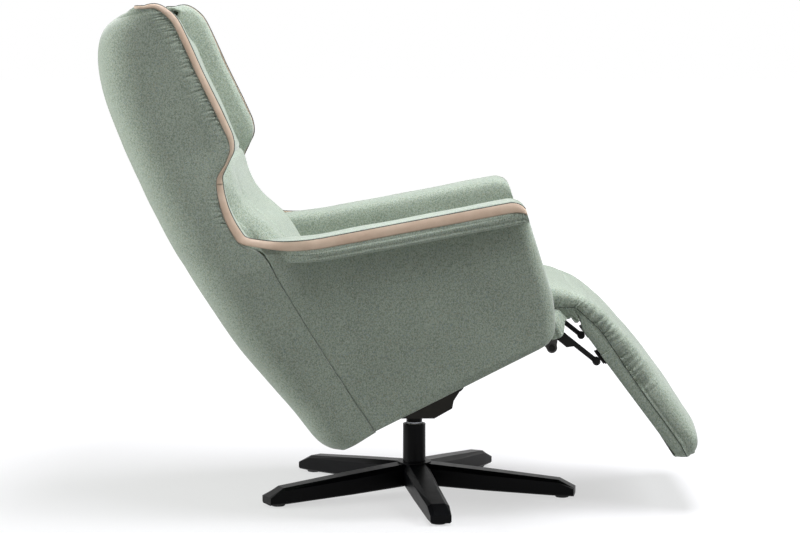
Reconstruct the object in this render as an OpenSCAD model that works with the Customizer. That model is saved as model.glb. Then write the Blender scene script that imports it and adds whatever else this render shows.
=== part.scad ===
// Swivel relaxing chair with a tilting seat shell, winged back and a sliding leg rest.
// Millimetres. +X is the way the chair faces, +Y its left side, +Z up.
// The origin is on the floor under the swivel column.
// The upper chair is drawn upright and then leaned back about its recline pivot.

/* [Base] */
// Number of feet on the star base
foot_count = 5; // [4:1:6]
// Distance from the column axis to the tip of a foot
foot_reach = 336; // [300:1:340]
// Bearing of the foot nearest to straight right of the chair
foot_turn = -81.6; // [-90:0.1:-60]
// Width of a foot at its tip
foot_tip_w = 44; // [36:1:52]
// Width of a foot where it meets the hub
foot_root_w = 54; // [46:1:60]
// Height of the flat end of a foot
foot_tip_h = 18; // [14:1:24]
// Depth of a foot at the hub
foot_root_h = 46; // [42:1:50]
// Height of the underside of the hub above the floor
hub_z = 20; // [16:1:26]
// Radius of the hub
hub_r = 35; // [32:1:42]
// Height of a floor glide
glide_h = 5; // [5:1:8]
// Radius of a floor glide
glide_r = 14; // [10:1:17]

/* [Column] */
// Radius of the column tube
column_r = 23.5; // [22.5:0.5:27]
// Radius of the column tube where it is pressed into the hub
spigot_r = 21; // [20:0.5:22]
// Height of the top of the column above the floor
column_top_z = 145; // [135:1:160]
// Inner radius of the column tube
column_bore_r = 17; // [16.5:0.5:18]
// Radius of the swivel spindle
spindle_r = 14; // [12:0.5:15]
// Radius of the collar on top of the spindle
collar_r = 16.5; // [16:0.5:20]
// Height of the collar between the thrust ring and the bracket
collar_h = 14; // [10:1:20]
// Thickness of the thrust ring
thrust_t = 2; // [1.5:0.5:3]

/* [Swivel bracket] */
// Thickness of the bracket plate
bracket_t = 6; // [5:0.5:8]
// Half width over the cheeks
bracket_half = 48; // [44:1:52]
// Distance of the recline pivot in front of the column
pivot_x = 85; // [75:1:95]
// Height of the recline pivot above the underside of the bracket
pivot_rise = 72; // [66:1:80]
// Radius of the recline pivot pin
pivot_r = 7; // [6:0.5:8]
// Angle that the chair leans back in the drawn position
recline_deg = 15; // [10:1:15]

/* [Seat frame] */
// Height of the underside of the seat frame above the pivot
frame_rise = 77; // [72:1:84]
// Slope of the seat frame, front edge up
seat_slope = 4; // [2:0.5:6]
// Length of the seat frame in front of the pivot
frame_front = 190; // [186:1:192]
// Length of the seat frame behind the pivot
frame_back = 283; // [278:1:284]
// Half width over the side rails
frame_half = 297; // [290:1:297]
// Width of the side rails
rail_w = 20; // [16:1:25]
// Height of the rails and cross tubes
rail_h = 30; // [26:1:32]
// Width of the cross tubes
cross_w = 30; // [24:1:32]
// Wall of the steel tubes
tube_wall = 2; // [1.5:0.5:3]
// Thickness of the tilt ears
ear_t = 8; // [6:1:9]
// Thickness of the elastic webbing
web_t = 3; // [2:0.5:3]
// Width of a webbing strap
web_w = 60; // [50:1:70]
// Number of straps under the seat
seat_webs = 5; // [4:1:6]
// Number of straps behind the back
back_webs = 5; // [4:1:6]

/* [Back frame] */
// Distance of the back webbing behind the pivot, level with the top of the seat frame
back_offset = 267; // [262:1:270]
// Angle of the back frame from upright
back_angle = 14; // [13:0.5:15]
// Length of the back uprights
upright_len = 715; // [690:5:720]

/* [Recline drive] */
// Distance of the drive pin behind the recline pivot
motor_back = 275; // [268:1:278]
// Distance of the drive pin below the underside of the seat frame above the pivot
motor_drop = 40; // [38:1:44]

/* [Shell] */
// Height of the hem of the shell at the side seam
hem_z = 232; // [222:1:240]
// Height of the arms at the side seam
arm_z = 622; // [600:1:640]
// Height of the top of the back
top_z = 1143; // [1110:1:1180]
// Thickness of the shell wall and its padding at the arms
side_wall = 35; // [32:1:40]
// Thickness of the shell wall at the head wings
wing_wall = 18; // [16:1:22]
// Thickness of the shell wall at the hem
hem_wall = 19; // [17:1:24]
// Radius of the rear corners of the shell
corner_r = 95; // [85:5:105]
// How far the middle of the back bulges
back_crown = 22; // [10:1:30]
// Thickness of the upholstered shell
shell_t = 28; // [22:1:30]
// Thickness of the front return of a side panel
return_t = 15; // [12:1:18]

/* [Arms] */
// Slope of the arms, front end down
arm_slope = 4.4; // [3:0.1:6]
// How far an arm pad stands out beyond the shell
arm_over = 23; // [15:1:28]
// Height of the arm pad
arm_pad_h = 46; // [40:1:55]
// From the outer face of a side rail in to the inner face of an arm
arm_inset = 34; // [31:1:37]
// X of the front end of the arm pads
arm_front_x = 306; // [300:1:310]
// Thickness of the plywood side frames
ply_t = 18; // [15:1:18]

/* [Leather trim] */
// Width of the leather bands
band_w = 16; // [14:1:20]
// Thickness of the leather bands
band_t = 4; // [3:0.5:5]

/* [Cushions] */
// Thickness of the seat cushion
seat_pad_t = 60; // [50:1:65]
// Rise of the middle of the seat cushion
seat_crown = 9; // [4:1:14]
// How far the sides of a cushion are drawn in between its corners
draw_in = 6; // [3:1:9]
// X of the front of the seat cushion
seat_front_x = 325; // [320:1:330]
// Gap between neighbouring soft pieces
soft_gap = 0.5; // [0.3:0.1:1]

/* [Leg rest] */
// X of the leg rest hinge in the upright chair
hinge_x = 300; // [298:1:302]
// Height of the leg rest hinge in the upright chair
hinge_z = 325; // [323:1:328]
// Angle of the leg rest board below level in the upright chair
leg_angle = 68.2; // [64:0.1:72]
// Distance of the board underside from the hinge
board_n = 45; // [43:1:48]
// Distance of the board top edge from the hinge
board_start = 107; // [104:1:112]
// Length of the leg rest board
board_len = 250; // [240:5:260]
// Thickness of the leg rest board
board_t = 16; // [15:1:20]
// Thickness of the leg rest pad
leg_pad_t = 60; // [50:1:65]
// From the inner face of an arm in to the side of the leg rest
leg_in = 41; // [39:1:48]
// Radius of the torque tube
torque_r = 12; // [11:0.5:12.5]
// Thickness of the swing arms
arm_plate_t = 6; // [5:0.5:7]
// From the inner face of an arm in to a swing arm
arm_plate_in = 73; // [68:1:83]
// Travel of the board along its slides
board_travel = 75; // [60:5:80]

/* [Hidden] */
$fn = 48;

fabric = [0.44, 0.50, 0.44];
fabric_light = [0.66, 0.72, 0.68];
leather = [0.74, 0.65, 0.56];
black = [0.05, 0.05, 0.05];
steel = [0.16, 0.15, 0.13];
zinc = [0.6, 0.61, 0.62];
birch = [0.75, 0.62, 0.44];
webbing = [0.2, 0.2, 0.2];

inner_half = frame_half + ply_t;
side_half = inner_half + side_wall;
wing_half = inner_half + wing_wall;
hem_half = inner_half + hem_wall;
arm_inner = frame_half - arm_inset;
arm_plate_y = arm_inner - arm_plate_in;
leg_half = arm_inner - leg_in;

run = 0.05;
press_gap = 0.06;
seat_on = 0.3;
turn_gap = 0.5;
arm_drop = 24;
tiny = 0.01;

// The recline pivot in the floor frame, and where it lies in the upright drawing
pivot_z = column_top_z + 4 + collar_h + pivot_rise;
draw_x = 85;
draw_z = 235;
bracket_z = pivot_z - pivot_rise;
frame_z = draw_z + frame_rise;

// General helpers
function mix(a, b, t) = a + (b - a) * t;
function unit(v) = v / norm(v);
function spow(v, e) = sign(v) * pow(abs(v), e);
function flat_list(l) = [for (a = l) each a];
function middle(l) = [for (k = [0:2]) sum([for (p = l) p[k]]) / len(l)];
function sum(l, i = 0) = i >= len(l) ? 0 : l[i] + sum(l, i + 1);

function six_volume(pts, faces) =
  sum([for (f = faces) cross(pts[f[0]], pts[f[1]]) * pts[f[2]]]);
function turned(f) = [f[0], f[2], f[1]];

// A closed solid from points and triangles, with every face turned outwards
module solid(pts, faces) {
  out = six_volume(pts, faces) > 0;
  polyhedron(pts, out ? [for (f = faces) turned(f)] : faces, convexity = 6);
}

function quad(a, b, c, d) = [[a, b, c], [a, c, d]];

// Joins rings with equal numbers of points, and closes both ends
module loft(rings) {
  m = len(rings[0]);
  n = len(rings);
  pts = concat(flat_list(rings), [middle(rings[0]), middle(rings[n - 1])]);
  sides = [for (i = [0:n - 2], j = [0:m - 1])
    each quad(i * m + j, i * m + (j + 1) % m, (i + 1) * m + (j + 1) % m, (i + 1) * m + j)];
  start = [for (j = [0:m - 1]) [n * m, (j + 1) % m, j]];
  finish = [for (j = [0:m - 1]) [n * m + 1, (n - 1) * m + j, (n - 1) * m + (j + 1) % m]];
  solid(pts, concat(sides, start, finish));
}

// A wall between an outer and an inner sheet of points, closed along its four edges
module thick_sheet(outer, inner) {
  n = len(outer);
  m = len(outer[0]);
  k = n * m;
  pts = concat(flat_list(outer), flat_list(inner));
  skin = [for (i = [0:n - 2], j = [0:m - 2])
    each quad(i * m + j, i * m + j + 1, (i + 1) * m + j + 1, (i + 1) * m + j)];
  lining = [for (f = skin) turned(f + [k, k, k])];
  low = [for (j = [0:m - 2]) each quad(j + 1, j, k + j, k + j + 1)];
  high = [for (j = [0:m - 2], b = [(n - 1) * m]) each quad(b + j, b + j + 1, k + b + j + 1, k + b + j)];
  first = [for (i = [0:n - 2]) each quad(i * m, (i + 1) * m, k + (i + 1) * m, k + i * m)];
  last = [for (i = [0:n - 2], e = [m - 1])
    each quad((i + 1) * m + e, i * m + e, k + i * m + e, k + (i + 1) * m + e)];
  solid(pts, concat(skin, lining, low, high, first, last));
}

module both_sides() {
  children();
  mirror([0, 1, 0]) children();
}

module on_left(left) {
  if (left) children();
  else mirror([0, 1, 0]) children();
}

// A cylinder along Y, centred at y
module across(r, len, y = 0) {
  translate([0, y, 0]) rotate([90, 0, 0]) cylinder(r = r, h = len, center = true);
}

// An outline in the X and Z plane, pushed out along Y from y0 to y1
module slab(y0, y1) {
  translate([0, y1, 0]) rotate([90, 0, 0]) linear_extrude(y1 - y0) children();
}

// The chair leaned back from the upright drawing to the photographed position
module leaned() {
  translate([pivot_x, 0, pivot_z]) rotate([0, -recline_deg, 0]) translate([-draw_x, 0, -draw_z]) children();
}

// Seat frame coordinates: origin above the pivot on the underside of the frame
module on_seat() {
  translate([draw_x, 0, frame_z]) rotate([0, -seat_slope, 0]) children();
}

// Back frame coordinates: origin on the rear end of the seat frame top, Z up along the back
back_foot_x = draw_x - back_offset;
back_foot_z = frame_z + rail_h - back_offset * sin(seat_slope);
module on_back() {
  translate([back_foot_x, 0, back_foot_z]) rotate([0, -back_angle, 0]) children();
}
function back_plane_x(z) = back_foot_x - (z - back_foot_z) * tan(back_angle);

// Leg rest coordinates: origin on the hinge, X down along the board, Z out of its pad side
module on_leg() {
  translate([hinge_x, 0, hinge_z]) rotate([0, leg_angle, 0]) children();
}

// Base

foot_root_top = hub_z + foot_root_h;
foot_chamfer = 3;
ridge_share = 0.62;

// Half of a foot section, from the underside over the side to the ridge, as [distance from the axis, y, z]
function foot_half(x, w, low, side, ridge) = let (a = w / 2) [
  [x, a - foot_chamfer, low], [x, a, low + foot_chamfer], [x, a, side], [x, a * ridge_share, ridge]
];
foot_stations = [
  foot_half(foot_reach * 0.45, mix(foot_root_w, foot_tip_w, 0.45), mix(hub_z, glide_h, 0.55), 44, 53),
  foot_half(foot_reach - 32, foot_tip_w, glide_h, foot_tip_h + glide_h + 10, foot_tip_h + glide_h + 15),
  foot_half(foot_reach, foot_tip_w - 2, glide_h, glide_h + foot_tip_h - 3, glide_h + foot_tip_h - 2)
];

// The feet as one solid. Neighbours meet on the plane half way between them.
module feet() {
  half = 180 / foot_count;
  root = [for (p = foot_half(0, foot_root_w, hub_z - 1, foot_root_top - 11, foot_root_top - 1.5))
    [p[1] / tan(half), p[1], p[2]]];
  function placed(p, k, side) = let (a = k * 2 * half)
    [p[0] * cos(a) - side * p[1] * sin(a), p[0] * sin(a) + side * p[1] * cos(a), p[2]];
  per = 28;
  n = foot_count * per;
  function section(s, k) = concat([for (p = s) placed(p, k, -1)], [for (j = [3:-1:0]) placed(s[j], k, 1)]);
  pts = concat([for (k = [0:foot_count - 1])
    each concat([for (p = root) placed(p, k, 1)], [for (s = foot_stations) each section(s, k)])],
    [[0, 0, root[0][2]], [0, 0, root[3][2]]]);
  function before(k) = (k + foot_count - 1) % foot_count;
  function ring(k, i) = i == 0
    ? concat([for (j = [0:3]) before(k) * per + j], [for (j = [3:-1:0]) k * per + j])
    : [for (j = [0:7]) k * per + 4 + (i - 1) * 8 + j];
  sides = [for (k = [0:foot_count - 1], i = [0:2]) let (a = ring(k, i), b = ring(k, i + 1))
    each [for (j = [0:7]) each quad(a[j], a[(j + 1) % 8], b[(j + 1) % 8], b[j])]];
  tips = [for (k = [0:foot_count - 1]) let (t = ring(k, 3)) each [for (j = [1:6]) [t[0], t[j], t[j + 1]]]];
  middles = [for (k = [0:foot_count - 1]) let (r = ring(k, 0)) each [[n, r[0], r[7]], [n + 1, r[4], r[3]]]];
  solid(pts, concat(sides, tips, middles));
}

module star_base() {
  color(black) difference() {
    union() {
      rotate([0, 0, foot_turn]) feet();
      translate([0, 0, hub_z]) cylinder(r = hub_r, h = foot_root_h);
    }
    translate([0, 0, hub_z - 5]) cylinder(r = spigot_r + press_gap, h = foot_root_h + 10);
  }
}

module floor_glides() {
  color(black) for (k = [0:foot_count - 1]) rotate([0, 0, foot_turn + k * 360 / foot_count])
    translate([foot_reach - 26, 0, 0]) {
      cylinder(r1 = glide_r - 1, r2 = glide_r, h = 1);
      translate([0, 0, 1]) cylinder(r = glide_r, h = glide_h - 1);
    }
}

module column_tube() {
  color(black) difference() {
    union() {
      translate([0, 0, hub_z]) cylinder(r = spigot_r, h = foot_root_h);
      translate([0, 0, foot_root_top]) cylinder(r = column_r, h = column_top_z - foot_root_top);
    }
    translate([0, 0, hub_z - 1]) cylinder(r = column_bore_r, h = column_top_z);
  }
}

bush_flange = 2;
bush_len = 25;
module column_bush() {
  difference() {
    union() {
      translate([0, 0, -bush_len]) cylinder(r = column_bore_r - run, h = bush_len);
      cylinder(r = collar_r + 2, h = bush_flange);
    }
    translate([0, 0, -bush_len - 1]) cylinder(r = spindle_r + run, h = bush_len + bush_flange + 2);
  }
}

module column_bushes() {
  color(webbing) {
    translate([0, 0, column_top_z]) column_bush();
    translate([0, 0, hub_z]) mirror([0, 0, 1]) column_bush();
  }
}

// Swivel: the parts that turn on the column

module thrust_ring() {
  color(zinc) translate([0, 0, column_top_z + bush_flange]) difference() {
    cylinder(r = collar_r, h = thrust_t);
    translate([0, 0, -1]) cylinder(r = spindle_r + run, h = thrust_t + 2);
  }
}

spindle_low = hub_z - 12;
stub_r = 10;
nut_h = 10;
module swivel_spindle() {
  shoulder = column_top_z + bush_flange + thrust_t;
  color(black) {
    translate([0, 0, spindle_low]) cylinder(r = spindle_r, h = shoulder - spindle_low);
    translate([0, 0, shoulder]) cylinder(r = collar_r, h = bracket_z - shoulder);
    translate([0, 0, bracket_z]) cylinder(r = stub_r, h = bracket_t + nut_h);
  }
}

clip_t = 3;
module spindle_clip() {
  color(zinc) translate([0, 0, hub_z - bush_flange - clip_t - 0.3]) difference() {
    cylinder(r = spindle_r + 4, h = clip_t);
    translate([0, 0, -1]) cylinder(r = spindle_r + tiny, h = clip_t + 2);
  }
}

// The recline drive pulls between the bracket and the rear of the seat frame
rod_pin_x = -26;
rod_pin_z = bracket_z + 25;
rod_pin_r = 5;
bracket_back_x = -42;
pivot_boss_r = pivot_r + 11;

module cheek_outline() {
  polygon([
    [bracket_back_x, bracket_z], [41, bracket_z], [78, bracket_z + 21], [81, bracket_z + 37],
    [pivot_x + 10, bracket_z + 59], [pivot_x, pivot_z], [pivot_x - 16, pivot_z + 10],
    [pivot_x - 60, bracket_z + 62], [bracket_back_x, bracket_z + 40]
  ]);
  translate([pivot_x, pivot_z]) circle(r = pivot_boss_r);
}

module swivel_bracket() {
  t = bracket_t;
  color(steel) difference() {
    union() {
      both_sides() slab(bracket_half - t, bracket_half) cheek_outline();
      slab(-bracket_half, bracket_half) polygon([
        [bracket_back_x, bracket_z], [41, bracket_z], [78, bracket_z + 21], [78, bracket_z + 21 + t],
        [41 - t / 3, bracket_z + t], [bracket_back_x, bracket_z + t]
      ]);
    }
    translate([pivot_x, 0, pivot_z]) across(pivot_r + tiny, 2 * bracket_half + 2);
    translate([rod_pin_x, 0, rod_pin_z]) across(rod_pin_r + tiny, 2 * bracket_half + 2);
    translate([0, 0, bracket_z - 1]) cylinder(r = stub_r + tiny, h = t + 2);
  }
}

module spindle_nut() {
  color(zinc) translate([0, 0, bracket_z + bracket_t]) difference() {
    cylinder(r = 17, h = nut_h, $fn = 6);
    translate([0, 0, -1]) cylinder(r = stub_r + tiny, h = nut_h + 2);
  }
}

pin_head = 4;
module recline_pin() {
  color(zinc) translate([pivot_x, 0, pivot_z]) {
    across(pivot_r, 2 * bracket_half + 12);
    across(pivot_r + 4, pin_head, bracket_half + pin_head / 2);
  }
}

module recline_pin_clips() {
  color(zinc) translate([pivot_x, -bracket_half - 2, pivot_z]) difference() {
    across(pivot_r + 4, 2, 0.5);
    across(pivot_r + tiny, 4);
  }
}

// Recline drive

motor_pin_x = draw_x - motor_back;
motor_pin_z = frame_z - motor_drop;
motor_pin_r = 5;
motor_half = 18;

lean = recline_deg;
motor_dx = motor_pin_x - draw_x;
motor_dz = motor_pin_z - draw_z;
motor_x = pivot_x + motor_dx * cos(lean) - motor_dz * sin(lean);
motor_z = pivot_z + motor_dx * sin(lean) + motor_dz * cos(lean);
drive_dx = rod_pin_x - motor_x;
drive_dz = rod_pin_z - motor_z;
drive_len = norm([drive_dx, drive_dz]);
drive_tilt = atan2(drive_dz, drive_dx);

// Drive coordinates: origin on the motor pin, X along the rod, in the photographed position
module on_drive() {
  translate([motor_x, 0, motor_z]) rotate([0, -drive_tilt, 0]) children();
}

rod_r = 7;
module recline_motor() {
  body = drive_len - 40;
  color(black) on_drive() difference() {
    union() {
      across(11, 2 * motor_half);
      translate([0, -motor_half, -16]) cube([34, 2 * motor_half, 32]);
      translate([30, 0, 0]) rotate([0, 90, 0]) cylinder(r = 15, h = body - 30);
    }
    across(motor_pin_r + run, 2 * motor_half + 2);
    translate([40, 0, 0]) rotate([0, 90, 0]) cylinder(r = rod_r + run, h = body);
  }
}

module recline_rod() {
  color(zinc) on_drive() difference() {
    union() {
      translate([50, 0, 0]) rotate([0, 90, 0]) cylinder(r = rod_r, h = drive_len - 56);
      translate([drive_len, 0, 0]) across(11, 18);
    }
    translate([drive_len, 0, 0]) across(rod_pin_r + 2, 20);
  }
}

module recline_rod_pin() {
  color(zinc) translate([rod_pin_x, 0, rod_pin_z]) {
    across(rod_pin_r, 2 * bracket_half + 6);
    both_sides() across(rod_pin_r + 3, 2, bracket_half + 1);
  }
}

module recline_motor_pin() {
  color(zinc) leaned() translate([motor_pin_x, 0, motor_pin_z]) {
    across(motor_pin_r, 2 * (motor_half + lug_t + 3));
    both_sides() across(motor_pin_r + 3, 2, motor_half + turn_gap + lug_t + 1);
  }
}

// Seat frame

module tube_bar(size) {
  w = tube_wall;
  along_x = size[0] > size[1];
  hole = along_x
    ? [size[0] + 2, size[1] - 2 * w, size[2] - 2 * w]
    : [size[0] - 2 * w, size[1] + 2, size[2] - 2 * w];
  difference() {
    cube(size, center = true);
    cube(hole, center = true);
  }
}

module seat_rail(left) {
  color(steel) leaned() on_seat() on_left(left)
    translate([(frame_front - frame_back) / 2, frame_half - rail_w / 2, rail_h / 2])
      tube_bar([frame_front + frame_back, rail_w, rail_h]);
}
module seat_rail_left() seat_rail(true);
module seat_rail_right() seat_rail(false);

module cross_tube(x) {
  translate([x, 0, rail_h / 2]) tube_bar([cross_w, 2 * (frame_half - rail_w), rail_h]);
}

module cross_tube_front() {
  color(steel) leaned() on_seat() cross_tube(frame_front - cross_w / 2);
}
module cross_tube_middle() {
  color(steel) leaned() on_seat() cross_tube(0);
}

lug_t = 5;
module cross_tube_rear() {
  color(steel) leaned() {
    on_seat() cross_tube(cross_w / 2 - frame_back);
    both_sides() difference() {
      slab(motor_half + turn_gap, motor_half + turn_gap + lug_t) difference() {
        union() {
          translate([motor_pin_x, motor_pin_z]) circle(r = 12);
          translate([motor_pin_x - 12, motor_pin_z]) square([24, 24]);
        }
        translate([draw_x, frame_z]) rotate(seat_slope) translate([-frame_back - 50, 0]) square([200, 60]);
      }
      translate([motor_pin_x, 0, motor_pin_z]) across(motor_pin_r + run, 100);
    }
  }
}

bush_wall = 2.5;
ear_in = bracket_half - bracket_t - ear_t - 2;
module tilt_ears() {
  color(steel) leaned() both_sides() difference() {
    slab(ear_in, ear_in + ear_t) difference() {
      union() {
        translate([draw_x, draw_z]) circle(r = pivot_boss_r - 1);
        polygon([
          [draw_x - pivot_boss_r + 1, draw_z], [draw_x - 26, frame_z + 10],
          [draw_x + 26, frame_z + 10], [draw_x + pivot_boss_r - 1, draw_z]
        ]);
      }
      translate([draw_x, frame_z]) rotate(seat_slope) translate([-60, 0]) square([120, 40]);
    }
    translate([draw_x, 0, draw_z]) across(pivot_r + bush_wall, 4 * bracket_half);
  }
}

module tilt_bushes() {
  color(webbing) leaned() both_sides() translate([draw_x, 0, draw_z]) difference() {
    union() {
      across(pivot_r + bush_wall - tiny, ear_t, ear_in + ear_t / 2);
      across(pivot_r + 2 * bush_wall, 1.5, ear_in + ear_t + 0.75);
    }
    across(pivot_r + run, 4 * bracket_half);
  }
}

module seat_webbing() {
  pitch = 2 * (frame_half - rail_w) / seat_webs;
  color(webbing) leaned() on_seat() for (k = [0:seat_webs - 1])
    translate([-frame_back, (k - (seat_webs - 1) / 2) * pitch - web_w / 2, rail_h])
      cube([frame_front + frame_back, web_w, web_t]);
}

// Back frame

upright_d = 24;
upright_in = 5;
module back_upright(left) {
  color(steel) leaned() on_left(left) difference() {
    on_back() translate([-web_t - upright_d, frame_half - rail_w - upright_in, -40]) difference() {
      cube([upright_d, rail_w, upright_len + 40]);
      translate([tube_wall, tube_wall, -1])
        cube([upright_d - 2 * tube_wall, rail_w - 2 * tube_wall, upright_len + 42]);
    }
    on_seat() translate([-frame_back - 100, 0, rail_h - 200]) cube([300, 2 * frame_half, 200]);
  }
}
module back_upright_left() back_upright(true);
module back_upright_right() back_upright(false);

module back_top_rail() {
  color(steel) leaned() on_back() translate([-web_t - upright_d / 2, 0, upright_len - cross_w / 2])
    rotate([0, 90, 0]) tube_bar([cross_w, 2 * (frame_half - rail_w - upright_in), upright_d]);
}

module back_webbing() {
  first = 130;
  pitch = (upright_len - first - web_w) / (back_webs - 1);
  color(webbing) leaned() on_back() for (k = [0:back_webs - 1])
    translate([-web_t, -frame_half + 2, first + k * pitch]) cube([web_t, 2 * frame_half - 4, web_w]);
}

// Shell outline in the upright drawing, as matching points up the back and along the side front.
// The second number is a level: 0 is the hem, 1 the arms and 2 the top of the back.
function level(s) = s < 1 ? mix(hem_z, arm_z, s) : mix(arm_z, top_z, s - 1);
function levels(l) = [for (p = l) [p[0], level(p[1])]];
function arm_line(x) = arm_z - 18 - (x + 36) * tan(arm_slope);
function under_arm(x) = arm_line(x) - arm_drop - seat_on;

rear_line = levels([
  [-168, -0.07], [-192, -0.05], [-216, 0.01], [-246, 0.17], [-284, 0.36], [-326, 0.58], [-362, 0.84],
  [-386, 1.02], [-397, 1.09], [-406, 1.16], [-414, 1.23], [-421, 1.29], [-427, 1.36], [-433, 1.42],
  [-441, 1.52], [-448, 1.68], [-445, 1.8], [-434, 1.89], [-416, 1.95], [-390, 1.98], [-340, 2]
]);
edge_line = levels([
  [-86, 0], [-97, 0.09], [-108, 0.17], [-125, 0.31], [-146, 0.48], [-165, 0.65], [-186, 0.84],
  [-205, 1], [-238, 1.05], [-254, 1.13], [-259, 1.22], [-252, 1.31], [-227, 1.36], [-211, 1.42],
  [-219, 1.53], [-235, 1.69], [-245, 1.81], [-254, 1.9], [-264, 1.94], [-278, 1.97], [-297, 1.98]
]);
seam_top = 7;
front_line = levels([
  [286, 0.2], [299, 0.24], [307, 0.31], [313, 0.41], [313, 0.51], [311, 0.61], [309, 0.71]
]);

function half_width(z) = lookup(z, [
  [hem_z, hem_half], [arm_z - 30, side_half], [arm_z + 60, side_half - 4],
  [arm_z + 220, wing_half], [top_z, wing_half - 3]
]);

// Inward normal of the rear outline at point i
function rear_normal(i) =
  let (n = len(rear_line), a = rear_line[max(i - 1, 0)], b = rear_line[min(i + 1, n - 1)])
  let (d = unit(b - a))
  [d[1], -d[0]];

// One course round the shell: side, corner, back, corner, side. It starts at the side edge.
side_steps = 3;
arc_steps = 6;
back_steps = 3;
function corner_at(i) = corner_r * mix(0.45, 1, min(i / seam_top, 1));
function crown_at(i) = back_crown * mix(0.35, 1, min(i / seam_top, 1));
function thick_at(i) = shell_t * mix(0.6, 1, min(i / seam_top, 1));
function half_course(length, w, r, crown) = concat(
  [for (k = [0:side_steps - 1]) [mix(length, crown + r, k / side_steps), w]],
  [for (k = [0:arc_steps]) let (a = 90 * k / arc_steps) [crown + r * (1 - sin(a)), w - r + r * cos(a)]],
  [for (k = [1:back_steps]) let (u = 1 - k / back_steps) [crown * u * u, (w - r) * u]]
);
function course(i, inset, w) =
  let (rear = rear_line[i] + inset * rear_normal(i), edge = edge_line[i])
  let (length = norm(edge - rear), dir = (edge - rear) / length)
  let (crown = min(crown_at(i), length * 0.3), r = min(corner_at(i) - inset, length - crown - 2))
  let (half = half_course(length, w, r, crown))
  let (all = concat(half, [for (k = [len(half) - 2:-1:0]) [half[k][0], -half[k][1]]]))
  [for (p = all) [rear[0] + dir[0] * p[0], p[1], rear[1] + dir[1] * p[0]]];

function outer_course(i) = course(i, 0, half_width(edge_line[i][1]));
function inner_course(i) = course(i, thick_at(i), inner_half);

module back_shell() {
  n = len(rear_line);
  outer = [for (i = [0:n - 1]) outer_course(i)];
  inner = [for (i = [0:n - 1]) inner_course(i)];
  color(fabric) leaned() thick_sheet(outer, inner);
}

// Side panels: from the side seam to a rounded front corner and a return across the arm front
front_r = 26;
panel_front_x = arm_front_x + 1;
panel_top = under_arm(-196);
seam_last = edge_line[seam_top - 1];
seam_t = (panel_top - seam_last[1]) / (edge_line[seam_top][1] - seam_last[1]);
panel_back = concat(
  [for (i = [0:seam_top - 1]) edge_line[i]],
  [mix(seam_last, edge_line[seam_top], seam_t) + [seat_on, 0]]
);
panel_front = concat(front_line, [[panel_front_x, under_arm(panel_front_x)]]);
function panel_course(i, w, inner, t) =
  let (s = panel_back[i], f = panel_front[i], dir = unit(f - s), length = norm(f - s))
  let (r = inner ? max(front_r - t, 4) : front_r)
  let (stop = inner ? length - t : length, y = inner ? inner_half : w)
  let (path = concat(
    [for (k = [0:2]) [mix(0, stop - r, k / 3), y]],
    [for (k = [0:4]) let (a = 90 * k / 4) [stop - r + r * sin(a), y - r + r * cos(a)]],
    [[stop, mix(y - r, arm_inner + soft_gap, 0.5)], [stop, arm_inner + soft_gap]]
  ))
  [for (p = path) [s[0] + dir[0] * p[0], p[1], s[1] + dir[1] * p[0]]];

module side_panel(left) {
  n = len(panel_front);
  outer = [for (i = [0:n - 1]) panel_course(i, half_width(panel_back[i][1]), false, return_t)];
  inner = [for (i = [0:n - 1]) panel_course(i, half_width(panel_back[i][1]), true, return_t)];
  color(fabric) leaned() on_left(left) thick_sheet(outer, inner);
}
module side_panel_left() side_panel(true);
module side_panel_right() side_panel(false);

// Plywood side frames between the shell and the steel frame
function frame_rear(i) =
  let (rear = rear_line[i] + thick_at(i) * rear_normal(i))
  rear + unit(edge_line[i] - rear) * (crown_at(i) + corner_at(i) - thick_at(i) + 3);
module side_frame_outline() {
  low = frame_z;
  front = arm_front_x - 30;
  top = level(1.15);
  polygon(concat([
    [draw_x - frame_back + 46, low - (frame_back - 46) * sin(seat_slope)],
    [front, low + (front - draw_x) * tan(seat_slope)],
    [front, under_arm(front)],
    [-190, under_arm(-190)],
    [-208, under_arm(-190)],
    [-228, level(0.96)],
    [back_plane_x(level(1.035)) - 6, level(1.035)],
    [back_plane_x(top) - 6, top]
  ], [for (i = [9:-1:3]) frame_rear(i)]));
}
module side_frame(left) {
  color(birch) leaned() on_left(left) slab(frame_half, inner_half) side_frame_outline();
}
module side_frame_left() side_frame(true);
module side_frame_right() side_frame(false);

module frame_bolts() {
  color(zinc) leaned() on_seat() both_sides() for (x = [-frame_back + 50, -100, 60, frame_front - 40])
    translate([x, 0, rail_h / 2]) across(8, 4, frame_half - rail_w - 2);
}

// Arms

arm_back_x = -194;
back_shear = -0.31;
arm_steps = 12;
function arm_half(x) = side_half + arm_over * min(max((x - arm_back_x) / 75, 0), 1);
// Height of the arm pad section at x, drawn in over the last stretch to a round nose
function nose(x) = let (u = min(max((x - (arm_front_x - 30)) / 30, 0), 1)) sqrt(1 - u * u);
function arm_section(x, end, shear = 0) =
  let (w = arm_half(x), i = arm_inner, h = arm_pad_h - arm_drop)
  let (s = mix(0.45, 1, end), low = arm_line(x) - arm_drop)
  [for (p = [
    [w - 6, 0], [w, arm_drop * 0.35], [w, arm_drop * 0.8], [w - 2, arm_drop],
    [w - band_w + 3, arm_drop + band_w * 0.75], [w - 32, arm_drop + h * 0.86], [mix(w, i, 0.5), arm_drop + h],
    [i + 26, arm_drop + h * 0.9], [i + 9, arm_drop + h * 0.55],
    [i, arm_drop * 0.9], [i, arm_drop * 0.4], [i + 2, 0]
  ]) [x + shear * p[1], p[0], low + p[1] * s]];
function arm_shear(k) = back_shear * pow(1 - k / arm_steps, 2);

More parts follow.
